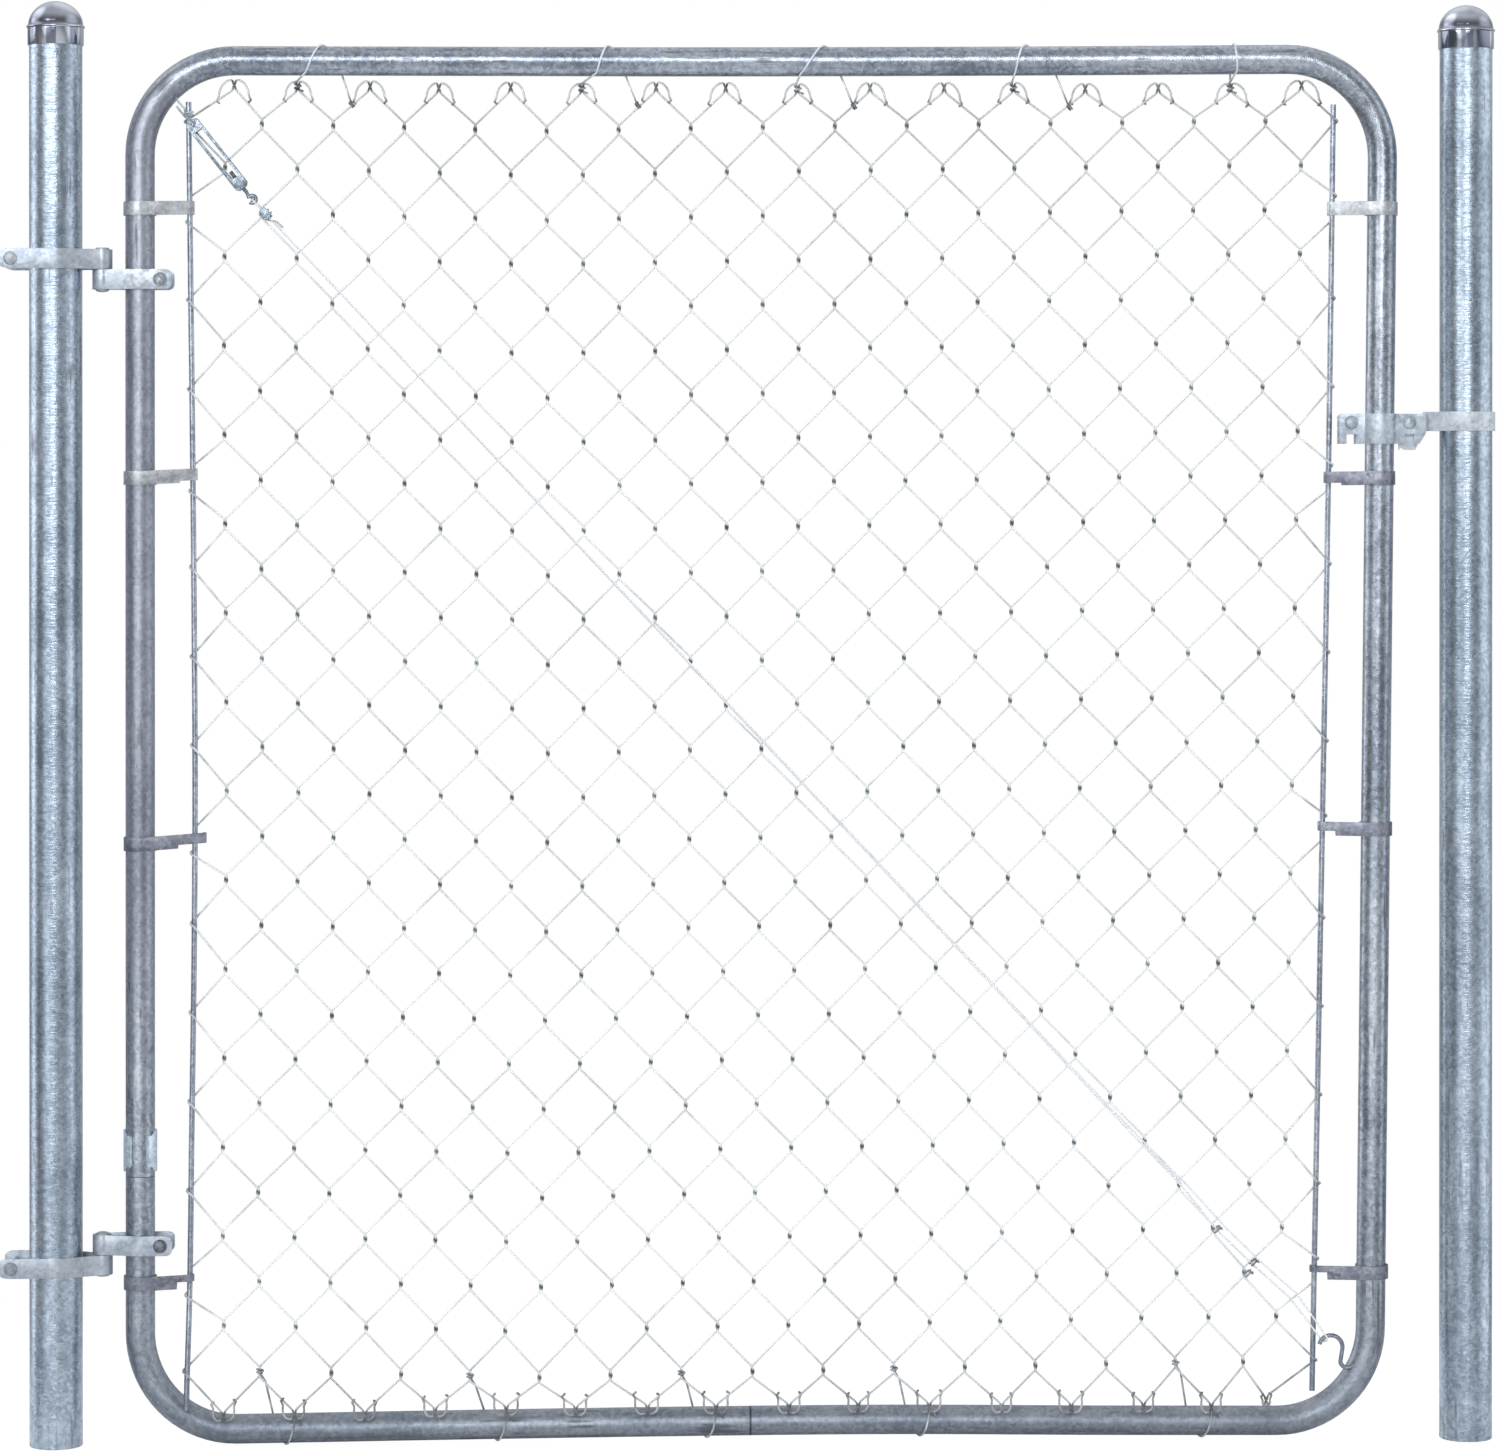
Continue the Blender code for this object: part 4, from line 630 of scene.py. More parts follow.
def wire_tree():
    tree = bpy.data.node_groups.new("wire_sweep", "GeometryNodeTree")
    for name, kind in (("Guide", "Geometry"), ("Radius", "Float"), ("Sides", "Int"),
                       ("Wander", "Float"), ("Seed", "Float"), ("Finish", "Material"),
                       ("Wire", "Geometry")):
        tree.interface.new_socket(name, in_out="OUTPUT" if name == "Wire" else "INPUT",
                                  socket_type="NodeSocket" + kind)
    node = Nodes(tree).node
    given = node("NodeGroupInput", {})
    spot = node("GeometryNodeInputPosition", {})
    stir = node("ShaderNodeTexNoise", {"Vector": spot[0], "W": given["Seed"], "Scale": WANDER_SCALE,
                                       "Detail": 1.0}, noise_dimensions="4D")
    centred = node("ShaderNodeVectorMath", {0: stir["Color"], 1: (0.5, 0.5, 0.5)}, operation="SUBTRACT")
    offset = node("ShaderNodeVectorMath", {0: centred[0], "Scale": given["Wander"]}, operation="SCALE")
    moved = node("GeometryNodeSetPosition", {"Geometry": given["Guide"], "Offset": offset[0]})
    lines = node("GeometryNodeMeshToCurve", {"Mesh": moved[0]})
    section = node("GeometryNodeCurvePrimitiveCircle", {"Resolution": given["Sides"],
                                                        "Radius": given["Radius"]})
    solid = node("GeometryNodeCurveToMesh", {"Curve": lines[0], "Profile Curve": section["Curve"],
                                             "Fill Caps": True})
    smooth = node("GeometryNodeSetShadeSmooth", {"Geometry": solid[0], "Shade Smooth": True})
    real = node("GeometryNodeRealizeInstances", {"Geometry": smooth[0]})
    dressed = node("GeometryNodeSetMaterial", {"Geometry": real[0], "Material": given["Finish"]})
    node("NodeGroupOutput", {"Wire": dressed[0]})
    return tree


WIRE_TREE = wire_tree()


def wire_piece(name, routes, radius, material, *nodes, wander=0.0, seed=1.0, sides=8):
    """Grows wire along routes, each a list of (point, darkness), as a piece of the gate. The darkness
    is grime, and painted shade where wires touch.
    """
    guide = bpy.data.meshes.new(name + "_guide")
    edges, start = [], 0
    for route in routes:
        edges += [(start + step, start + step + 1) for step in range(len(route) - 1)]
        start += len(route)
    guide.from_pydata([point for route in routes for point, _ in route], edges, [])
    # Each point's darkness, grime and painted shade, goes onto the guide as a point attribute.
    grime_and_shade = guide.attributes.new("grime_and_shade", "FLOAT", "POINT")
    grime_and_shade.data.foreach_set("value", [value for route in routes for _, value in route])
    obj = linked(name, guide)
    modifier = obj.modifiers.new("Grow", "NODES")
    modifier.node_group = WIRE_TREE
    values = {"Radius": radius, "Sides": sides, "Wander": wander, "Seed": seed, "Finish": material}
    for item in WIRE_TREE.interface.items_tree:
        if item.name in values:
            modifier[item.identifier] = values[item.name]
    graph = bpy.context.evaluated_depsgraph_get()
    made = bpy.data.meshes.new_from_object(obj.evaluated_get(graph))
    obj.modifiers.remove(modifier)
    obj.data = made
    return placed(obj, "gate", "wire_zinc", *nodes)


print("wire tree of", len(WIRE_TREE.nodes), "nodes")


# %% [markdown]
# ## The woven mesh
# Chain link is not a grid. It is a row of pickets, each one wire bent to and fro into a flat
# spiral, and each picket is screwed into the one beside it, so that at every crossing two bends
# hook through each other. A picket passes in front on its way down to the right and behind on
# its way down to the left. The rule for the crossings follows the measured mesh: even rows two
# inches apart, pulled out of level by the way the pickets have slipped.

# %% Where the wires cross
PICKETS = 32
ROWS = 30
ROW_PITCH = 0.0508
FIRST_ROW = 1.5045
SIDE_TUCK = 0.0047
HALF_DEPTH = BAR_RADIUS + WIRE_RADIUS + WIRE_GAP
PICKET_SHARES = (0.0, 0.094, 0.25, 0.3125, 0.375, 0.4375, 0.5625, 0.72, 0.875, 1.0)
PICKET_RISE = (0.0045, 0.0015, -0.0035, -0.0056, -0.0038, -0.0020, 0.0005, 0.0033, 0.0062, 0.0075)
PULLS = ((1.42, 0.14, 0.14, -0.0075), (0.26, 1.52, 0.30, 0.0055), (0.30, 0.02, 0.28, 0.0078))
HANG_TOP, HANG_HEIGHT, HANG_DEPTH = 0.115, 0.065, -0.0172
BAR_REACH = 0.05


def crossing(column, row):
    """Place (x, z) of the crossing at a half column and a row."""
    share = column / PICKETS
    z = FIRST_ROW - ROW_PITCH * (row - 1) + smooth_value(PICKET_SHARES, PICKET_RISE, share)
    low = bar_spot("hinge", z)[0] - SIDE_TUCK
    high = bar_spot("latch", z)[0] + SIDE_TUCK
    x = low + (high - low) * share
    for centre_x, centre_z, reach, pull in PULLS:
        x += pull * max(0.0, 1.0 - hypot(x - centre_x, z - centre_z) / reach)
    return x, z


def fabric_y(x, z):
    """Depth of the mesh's middle: it follows the bars and hangs in front of the foot rail."""
    share = min(max((HANG_TOP - z) / HANG_HEIGHT, 0.0), 1.0)
    hang = HANG_DEPTH * share * share * (3 - 2 * share)
    for side in BARS:
        bar_x, bar_y = bar_spot(side, z)
        hang += (bar_y - hang) * max(0.0, 1.0 - abs(x - bar_x) / BAR_REACH)
    return hang


print("crossings", sum((row + column) % 2 for row in range(1, ROWS) for column in range(PICKETS + 1)))

# %% [markdown]
# Each bend is written as a few points about its crossing. Inside the mesh a bend goes from
# front to back over twelve millimetres, just clear of its neighbour. At the edges it runs right
# round the tension bar, and where a band's hook is in the way it also goes down behind the hook.

# %% Bends
BEND_STEPS = 7
BEND_HEIGHT = 0.0058
TURN_STEPS = 6
TURN_HEIGHT = 0.0035
HOOK_REACH = 0.017
HOOK_DROP = 0.0145
BEHIND_HOOK = 0.0072
# Darkness on the turns round a tension bar: grime and painted shade.
BAR_GRIME_AND_SHADE = 0.35


def edges_of(node):
    low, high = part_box(node)
    return low.z, high.z


band_heights = {side: [sum(edges_of(f"{side}_side_band_{number}")) / 2 for number in (1, 2, 3, 4)]
                for side in BARS}
for side, heights in band_heights.items():
    print(side, "side bands at", [round(height, 3) for height in heights])


def inner_bend(x, z, side, depth):
    """Half a turn at a crossing inside the mesh; depth is the side the wire comes in on."""
    points = []
    for share in shares(BEND_STEPS):
        inward, outward = on_circle((0, 0), 1.0, 180 * share)
        across = side * (-0.0006 + 0.0018 * outward)
        high = z + BEND_HEIGHT * (1 - 2 * share)
        y = fabric_y(x, high) + depth * HALF_DEPTH * inward
        # Darkest in the middle of the bend, where it hooks through its neighbour: grime and painted
        # shade.
        points.append(((x + across, y, high), 0.68 * outward ** 2))
    return points


def bar_bend(bar, z, side, depth):
    """Half a turn round a tension bar. Beside a band the wire runs down behind the hook."""
    band = min(band_heights[bar], key=lambda height: abs(height - z))
    behind = []
    if abs(band - z) < HOOK_REACH:
        start, end = band + HOOK_DROP, band - HOOK_DROP
        z = end if depth > 0 else start
        start -= 0.0 if depth > 0 else 0.004
        for share in (0.0, 0.3, 0.7, 1.0):
            high = start + (end - start) * share
            x, y = bar_spot(bar, high)
            behind.append(((x - side * 0.0005, y + BEHIND_HOOK, high), BAR_GRIME_AND_SHADE))
    turns = []
    for share in shares(TURN_STEPS):
        inward, outward = on_circle((0, 0), HALF_DEPTH, 180 * share)
        high = z + TURN_HEIGHT * (1 - 2 * share)
        x, y = bar_spot(bar, high)
        turns.append(((x + side * outward, y + depth * inward, high), BAR_GRIME_AND_SHADE))
    return behind + turns if depth > 0 else turns + behind


# %% [markdown]
# At the top and the foot each wire is cut and bent back over its neighbour. The two ends
# twist half round each other, part to left and right, and each one hooks the other's leg: a
# small crown with two loops. The outline of half a crown is a table of millimetres, mirrored
# for the other wire, with a narrower table for the foot, where the crowns hang over the rail.

# %% Crowns
TOP_CROWN = ((16.4, -17.0), (15.4, -11.2), (13.0, -6.0), (9.6, -2.2), (6.0, 0.0), (3.2, 0.2))
FOOT_CROWN = ((12.1, -16.0), (12.4, -10.0), (11.6, -5.0), (9.4, -1.6), (6.2, 0.0), (3.4, -0.2))
TWIST = ((1.6, 0.45, -1.0), (1.2, 1.0, -3.0), (0.0, 1.5, -5.2), (-1.2, 1.0, -7.4), (-1.5, 0.5, -9.4))
HOOK_ANGLES = (235, 190, 140, 90, 40)
HOOK_LEAN = (1.617, 1.323)
HOOK_DEPTH = 2.7
LEG_DEPTH = 2.9
LEG_START = (-3.2, 1.5, -12.0)
# Darkness along a crown: dirt at the cut end, and grime with painted shade where the two ends twist.
CUT_GRIME, TWIST_GRIME_AND_SHADE, LEG_GRIME = 0.5, 0.65, 0.15
TOP_TIP = 1.5538
FOOT_OVERLAP = 0.0045
# Shift to the right, shift up, and the sizes of the left and the right loop
CROWN_RANGES = ((-0.0016, 0.0016), (-0.0014, 0.0014), (0.86, 1.14), (0.86, 1.14))
MILLIMETRE = 0.001
shuffle = random.Random(11)
crown_changes = {}
for column in range(1, PICKETS, 2):
    for row in (0, ROWS):
        crown_changes[column, row] = [shuffle.uniform(low, high) for low, high in CROWN_RANGES]
crown_changes[PICKETS - 1, 0] = (0.0, 0.0045, 1.15, 1.2)
crown_changes[PICKETS - 1, ROWS] = (-0.0150, 0.0085, 0.36, 0.36)
crown_changes[1, 0] = (0.0105, 0.0024, 1.10, 1.05)
print(len(crown_changes), "crowns, of two wires each")


def foot_tip(x):
    """The height where the crowns at the foot turn over."""
    return FRAME_FOOT + rail_bow(FOOT_RAIL_BOW, x) + FRAME_RADIUS - FOOT_OVERLAP


def crown(column, row, side, own):
    """The end of a picket, from its cut tip to where its leg starts. own is +1 at the back."""
    at_top = row == 0
    outline, outline_grime = (TOP_CROWN, 0.15) if at_top else (FOOT_CROWN, 0.38)
    shift_x, shift_z, left, right = crown_changes[column, row]
    size = right if side > 0 else left
    x = crossing(column, 1 if at_top else ROWS - 1)[0] + shift_x
    tip = (TOP_TIP if at_top else foot_tip(x)) + shift_z

    def spot(across, away, rise):
        z = tip + (1.0 if at_top else -1.0) * rise * MILLIMETRE
        return (x + side * across * MILLIMETRE, fabric_y(x, z) + away * MILLIMETRE, z)

    reach = outline[0][0] * size + 1.0
    fall = outline[0][1] * size - 6.0
    leg_y = -own * LEG_DEPTH
    points = []
    for angle in HOOK_ANGLES:
        lean, turn = on_circle((0, 0), 1.0, angle)
        away = leg_y - own * HOOK_DEPTH * turn
        points.append((spot(reach + HOOK_LEAN[0] * lean, away, fall + HOOK_LEAN[1] * lean), CUT_GRIME))
    for index, (across, rise) in enumerate(outline):
        share = index / len(outline)
        away = leg_y * (1 - share) + own * TWIST[0][1] * share
        points.append((spot(across * size, away, rise * size), outline_grime))
    points += [(spot(across, own * away, rise), TWIST_GRIME_AND_SHADE) for across, away, rise in TWIST]
    return points + [(spot(LEG_START[0], own * LEG_START[1], LEG_START[2]), LEG_GRIME)]


# %% [markdown]
# A picket is then a crown, twenty-nine bends and another crown. The mesh is grown as two
# pieces, one for each half of the CAD mesh.

# %% Pickets
def picket(number):
    """The whole wire of one picket, from its top crown to its foot crown."""
    def side_of(row):
        side = -1 if (row + number) % 2 else 1
        return side, number if side < 0 else number + 1

    side, column = side_of(0)
    route = crown(column, 0, side, side)
    for row in range(1, ROWS):
        side, column = side_of(row)
        x, z = crossing(column, row)
        if column in (0, PICKETS):
            route += bar_bend("latch" if column else "hinge", z, side, -side)
        else:
            route += inner_bend(x, z, side, -side)
    side, column = side_of(ROWS)
    return route + crown(column, ROWS, side, -side)[::-1]


for half, numbers in (("hinge", range(PICKETS // 2)), ("latch", range(PICKETS // 2, PICKETS))):
    piece = wire_piece(f"woven_mesh_{half}_half", [picket(number) for number in numbers], WIRE_RADIUS,
                       mesh_wire, f"mesh_{half}_half", wander=0.0012, seed=3.0, sides=7)
    print(piece.name, len(piece.data.polygons), "faces")

# %% [markdown]
# ## Straps
# Most fittings are flat steel bent round a tube: hinge straps, tension bands, the strike and the
# splice clip. All of them come from one builder. It takes the plan of the bend, a thickness, and
# the lower and upper edge at every point, and eases the corners, which is what makes pressed
# steel catch the light.

# %% Strap builder
EASE = 0.00035
CORNER_ANGLE = radians(42)


def eased(mesh, ease):
    """Rounds the corners of a piece and leaves its smooth bends alone."""
    bmesh.ops.recalc_face_normals(mesh, faces=mesh.faces)
    corners = [edge for edge in mesh.edges if edge.calc_face_angle(0.0) > CORNER_ANGLE]
    bmesh.ops.bevel(mesh, geom=corners, offset=ease, segments=2, profile=0.6, affect="EDGES",
                    clamp_overlap=True)


def strap(name, path, thickness, edges, material, body, slot, node):
    """A strip bent to a path of (x, y), with a lower and an upper edge (z) at each point."""
    points = [Vector(point) for point in path]
    ways = [(far - near).normalized() for near, far in zip(points, points[1:])]
    mesh = bmesh.new()
    rings = []
    for point, before, after, (low, high) in zip(points, ways[:1] + ways, ways + ways[-1:], edges):
        way = (before + after).normalized()
        aside = Vector((-way.y, way.x)) * thickness / 2 / max(0.5, way.dot(after))
        rings.append([mesh.verts.new((point.x + side * aside.x, point.y + side * aside.y, z))
                      for side, z in ((-1, low), (-1, high), (1, high), (1, low))])
    for first, second in zip(rings, rings[1:]):
        joined(mesh, first, second)
    mesh.faces.new(rings[0])
    mesh.faces.new(rings[-1])
    eased(mesh, EASE)
    return finished(name, mesh, material, body, slot, node)


print("corners eased by", EASE * 1000, "mm")

# %% [markdown]
# ## Hinges
# A hinge strap is one piece: an ear, half way round its tube, a neck, an eye round the pin, and
# back to the second ear, with a carriage bolt through both ears. Seen from above it is the same
# outline on the post and on the gate, only with another radius, so one loop draws all four.

# %% Hinge straps
STRAP_THICKNESS = 0.0030
PIN_RADIUS = 0.00795
PIN_DOME = 0.0030
PIN_ROOM = 0.0005
PIN_X = HINGE_POST_X + 0.0530
EYE_ROLL = 38
EAR_REACH = {"post": 0.0620, "gate": 0.0375}

for place in ("upper", "lower"):
    for side, tube_x, tube_radius, body in (("post", HINGE_POST_X, POST_RADIUS, "posts"),
                                            ("gate", HINGE_STILE_X, FRAME_RADIUS, "gate")):
        node = f"{place}_{side}_hinge_strap"
        low, high = edges_of(node)
        middle, half = (low + high) / 2, (high - low) / 2
        facing, away = (1 if PIN_X > tube_x else -1), abs(PIN_X - tube_x)
        round_tube = tube_radius + SEAT_GAP + STRAP_THICKNESS / 2
        round_pin = PIN_RADIUS + PIN_ROOM + STRAP_THICKNESS / 2
        neck = round_pin * cos(radians(EYE_ROLL))
        lean = degrees(asin((round_tube - neck) / away))
        front = []
        for turn in range(0, 91, 10):
            reach = EAR_REACH[side] * (0.8 + 0.2 * cos(radians(turn)))
            front.append((-reach, -round_tube, 0.45 + 0.55 * sin(radians(turn))))
        front += [(x, y, 1.0) for x, y in arc((0, 0), round_tube, -90, -90 + lean, 8)]
        roll = 90 - lean + EYE_ROLL
        eye = [(x, y, 1.0) for x, y in arc((away, 0), round_pin, -roll, roll, 28)]
        outline = front + eye + [(x, -y, share) for x, y, share in reversed(front)]
        edges = [(middle - half * share, middle + half * share) for _, _, share in outline]
        strap(f"{place}_{side}_hinge_leaf", [(tube_x + facing * x, y) for x, y, _ in outline],
              STRAP_THICKNESS, edges, strap_zinc, body, "strap_zinc", node)
    low, high = edges_of(f"{place}_hinge_pin")
    shoulder = high - low - PIN_DOME
    profile = [(PIN_RADIUS * 0.88, 0.0), (PIN_RADIUS, 0.0008), (PIN_RADIUS, shoulder)]
    dome = arc((0, 0), PIN_RADIUS, 0, 90, 8)[1:-1]
    profile += [(x, shoulder + y * PIN_DOME / PIN_RADIUS) for x, y in dome]
    profile.append((0.0, high - low))
    pin = bmesh.new()
    turned(pin, (PIN_X, 0.0, 0.0), [(radius, low + up if place == "lower" else high - up)
                                    for radius, up in profile], 36)
    finished(f"{place}_domed_pin", pin, bolt_zinc, "posts", "bolt_zinc", f"{place}_hinge_pin")
print("hinge straps and pins made")

# %% [markdown]
# ## Bolts
# Every bolt is a carriage bolt: a low domed head in front, a hexagon nut behind and a short
# end of thread past it. The places come from the boxes of the CAD bolts, which lie along Y.

# %% Bolts
BOLT_RADIUS = 0.00395
HEAD_RADIUS = 0.00775
HEAD_HEIGHT = 0.0042
HEAD_EDGE = 0.0007
NUT_RADIUS = 0.0127 / 2 / cos(pi / 6)
NUT_THICKNESS = 0.0064
BOLT_TAIL = 0.0020
THREAD_PITCH = 0.0014
THREAD_DEPTH = 0.0005


def make_bolt(node, body, material=bolt_zinc):
    """Head, shank and thread turned as one outline, and the nut as a second."""
    low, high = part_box(node)
    centre = ((low.x + high.x) / 2, 0.0, (low.z + high.z) / 2)
    face = low.y + HEAD_HEIGHT
    nut = high.y - BOLT_TAIL - NUT_THICKNESS
    nut_end = nut + NUT_THICKNESS
    profile = [(0.0, low.y)]
    for fall, across in arc((0, 0), 1.0, 12, 90, 6):
        profile.append((HEAD_RADIUS * across, face - HEAD_EDGE - (HEAD_HEIGHT - HEAD_EDGE) * fall))
    profile += [(HEAD_RADIUS, face - 0.0003), (HEAD_RADIUS - 0.0003, face), (BOLT_RADIUS, face),
                (BOLT_RADIUS, nut)]
    along = nut_end
    while along < high.y - THREAD_PITCH / 2:
        profile += [(BOLT_RADIUS, along), (BOLT_RADIUS - THREAD_DEPTH, along + THREAD_PITCH / 2)]
        along += THREAD_PITCH
    profile += [(BOLT_RADIUS - 0.0008, high.y), (0.0, high.y)]
    mesh = bmesh.new()
    turned(mesh, centre, profile, 28, axis="Y")
    flat = NUT_RADIUS * 0.88
    turned(mesh, centre, [(flat, nut), (NUT_RADIUS, nut + 0.0007), (NUT_RADIUS, nut_end - 0.0007),
                          (flat, nut_end)], 6, axis="Y")
    return finished(node.replace("bolt", "carriage_bolt"), mesh, material, body, "bolt_zinc", node)


dark_bolt = zinc("dark_bolt", (0.09, 0.10, 0.12), (0.16, 0.17, 0.20), (0.26, 0.28, 0.32),
                 gloss=0.5, runs=120.0, metallic=0.5)
for node, body in (("upper_post_hinge_bolt", "posts"), ("upper_gate_hinge_bolt", "gate"),
                   ("lower_post_hinge_bolt", "posts"), ("latch_inner_bolt", "latch_collar"),
                   ("latch_outer_bolt", "latch_collar")):
    make_bolt(node, body)
make_bolt("lower_gate_hinge_bolt", "gate", dark_bolt)
print("six bolts made")

# %% [markdown]
# ## Latch and strike
# The two halves of the latch were cut with notches and bolt holes in the CAD model, so their
# shape is taken from there: merged, and its corners eased. The strike is a strap again: a tongue
# between the wings of the latch, a bend, and once round the latch post.

# %% Latch and strike
def eased_copy(node, name, material, body, slot, ease):
    """The CAD solid itself, with its faces merged and its corners eased."""
    mesh = bmesh.new()
    mesh.from_mesh(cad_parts[node].data)
    bmesh.ops.remove_doubles(mesh, verts=mesh.verts, dist=0.00001)
    bmesh.ops.dissolve_limit(mesh, angle_limit=radians(2), verts=mesh.verts, edges=mesh.edges)
    eased(mesh, ease)
    return finished(name, mesh, material, body, slot, node)


latch_zinc = zinc("latch_zinc", (0.36, 0.42, 0.48), (0.52, 0.59, 0.65), (0.68, 0.74, 0.79),
                  runs=60.0, stain=(0.24, 0.26, 0.29), metallic=0.45, gloss=0.44)
for half in ("front", "back"):
    eased_copy(f"latch_{half}_half", f"latch_{half}_plate", latch_zinc, "latch_collar", "strap_zinc",
               0.0004)

strike_zinc = zinc("strike_zinc", (0.50, 0.55, 0.60), (0.64, 0.70, 0.75), (0.78, 0.83, 0.88),
                   runs=45.0, stain=GREY_STAIN, metallic=0.25, gloss=0.5)
STRIKE_ROOT = 0.0464
STRIKE_TURN = 0.0120
STRIKE_HEIGHT = 0.0220
TONGUE_TOP = 1.1581
# How far along the tongue, and how much its rounded tip lacks below and above
TONGUE_TIP = ((0.0, 0.0, 0.0030), (0.0011, 0.0009, 0.0012), (0.0022, 0.0030, 0.0), (0.0065, 0.0, 0.0))
strike_low, strike_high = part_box("strike_band")
root_x = LATCH_POST_X - STRIKE_ROOT
round_post = POST_RADIUS + SEAT_GAP + STRAP_THICKNESS / 2
lean = degrees(asin(round_post / STRIKE_ROOT))
strike_path = [(strike_low.x + x, 0.0) for x, _, _ in TONGUE_TIP]
strike_edges = [(strike_low.z + below, TONGUE_TOP - above) for _, below, above in TONGUE_TIP]
strike_path += [(root_x - STRIKE_TURN, 0.0), (root_x - STRIKE_TURN / 4, 0.0), (root_x, 0.0)]
strike_path += arc((LATCH_POST_X, 0.0), round_post, -90 - lean, 90 + lean, 64)
ear_rise = STRAP_THICKNESS + 2 * SEAT_GAP
strike_path.append((root_x + ear_rise / tan(radians(lean)) * 0.55, ear_rise + SEAT_GAP))
strike_edges.append((strike_low.z, TONGUE_TOP))
rest = len(strike_path) - len(strike_edges)
strike_edges += [(strike_high.z - STRIKE_HEIGHT, strike_high.z)] * rest
strap("strike_strap", strike_path, STRAP_THICKNESS, strike_edges, strike_zinc, "posts", "strap_zinc",
      "strike_band")

# %% [markdown]
# ## Tension bands
# A band hooks round the tension bar, runs to the frame tube as a narrow neck, widens, and goes
# once round the tube. The upper bands kept their pale zinc and the others have gone mauve grey.
# One hook on the hinge side is longer than the others and hangs a little lower.

# %% Tension bands
BAND_THICKNESS = 0.0019
BAND_HEIGHT = 0.0158
BAND_HOOK_ROOM = 0.0004
BAND_NECK_LENGTH = 0.0150
LONG_HOOK = 0.0080
LONG_NECK = 0.0040
LONG_HOOK_DROP = 0.0042
HOOK_TURN = 80
BAND_GAP = 33
pale_band = zinc("pale_band", (0.36, 0.37, 0.39), (0.52, 0.54, 0.56), (0.70, 0.72, 0.74),
                 gloss=0.46, runs=80.0, stain=(0.20, 0.20, 0.22), stained=0.7)
# From the foot up: height of the neck, rise of its upper edge towards the hook, and finish
BANDS = {"hinge": ((0.0080, 0.0010, band_zinc), (0.0118, 0.0046, band_zinc),
                   (0.0135, 0.0030, pale_band), (0.0157, 0.0010, pale_band)),
         "latch": ((0.0076, -0.0008, band_zinc), (0.0105, 0.0004, band_zinc),
                   (0.0130, -0.0006, band_zinc), (0.0157, 0.0, pale_band))}


def make_band(side, number, height, neck, rise, material):
    """A hook, a neck and a loop round the tube, drawn about the tube and turned to face the bar."""
    node = f"{side}_side_band_{number}"
    stile_x = HINGE_STILE_X if side == "hinge" else latch_stile_x(height)
    bar_x = bar_spot(side, height)[0]
    facing, reach = (1 if bar_x > stile_x else -1), abs(bar_x - stile_x)
    neck_length = BAND_NECK_LENGTH
    if node == "hinge_side_band_2":
        reach += LONG_HOOK
        neck_length += LONG_HOOK + LONG_NECK
        height -= LONG_HOOK_DROP
    round_tube = FRAME_RADIUS + SEAT_GAP + BAND_THICKNESS / 2
    round_bar = BAR_RADIUS + BAND_HOOK_ROOM + BAND_THICKNESS / 2
    lean = degrees(asin((round_tube - round_bar) / reach))
    hook = arc((reach, 0.0), round_bar, HOOK_TURN, lean - 90, 16)
    along = Vector((-cos(radians(lean)), -sin(radians(lean))))
    neck_end = Vector(hook[-1]) + along * neck_length
    wide = neck_end + along * BAND_THICKNESS / 4
    path = hook + [tuple(neck_end), tuple(wide)]
    path += arc((0.0, 0.0), round_tube, lean - 90, lean - 90 + BAND_GAP - 360, 48)
    edges = []
    for index, (x, _) in enumerate(path):
        share = max(x, 0.0) / reach if index < len(hook) + 3 else 0.0
        top = height + BAND_HEIGHT / 2 + rise * share
        edges.append((top - (neck if index <= len(hook) else BAND_HEIGHT), top))
    return strap(node.replace("band", "strap"), [(stile_x + facing * x, y) for x, y in path],
                 BAND_THICKNESS, edges, material, "gate", "band_zinc", node)


for side, bands in BANDS.items():
    for number, (height, band) in enumerate(zip(band_heights[side], bands), 1):
        make_band(side, number, height, *band)
print("eight bands made")

# %% [markdown]
# ## Splice clip
# Where the tube's two ends meet, a spring clip was pushed on from behind. Its two lips come
# round to the front, with rounded corners, and leave the joint showing between them.

# %% Splice clip
CLIP_THICKNESS = 0.0022
CLIP_MOUTH = 27
CLIP_LIP = 0.036
CLIP_RISE = 0.0022
CLIP_STEPS = 60
clip_low, clip_high = edges_of("splice_clip")
clip_middle = (clip_low + clip_high) / 2 + CLIP_RISE
clip_path = arc((HINGE_STILE_X, 0.0), FRAME_RADIUS + SEAT_GAP + CLIP_THICKNESS / 2,
                -90 + CLIP_MOUTH, 270 - CLIP_MOUTH, CLIP_STEPS)
clip_edges = []
for step in shares(CLIP_STEPS):
    openness = abs(2 * step - 1)
    share = min(max((openness - 0.74) / 0.10, 0.0), 1.0)
    corner = min(max((openness - 0.955) / 0.045, 0.0), 1.0)
    half = (clip_high - clip_low) / 2 * (1 - share) + CLIP_LIP / 2 * share
    half -= 0.0035 * (1 - sqrt(1 - corner ** 2))
    clip_edges.append((clip_middle - half, clip_middle + half))
strap("splice_spring", clip_path, CLIP_THICKNESS, clip_edges, bright_zinc, "gate", "bright_zinc",
      "splice_clip")
print("splice clip from", round(clip_low, 3), "to", round(clip_high, 3))

# %% [markdown]
# ## Truss
# A turnbuckle and a doubled cable run corner to corner and keep the gate from sagging. All of it
# lies along one line, so places are given as a distance along that line and across it.

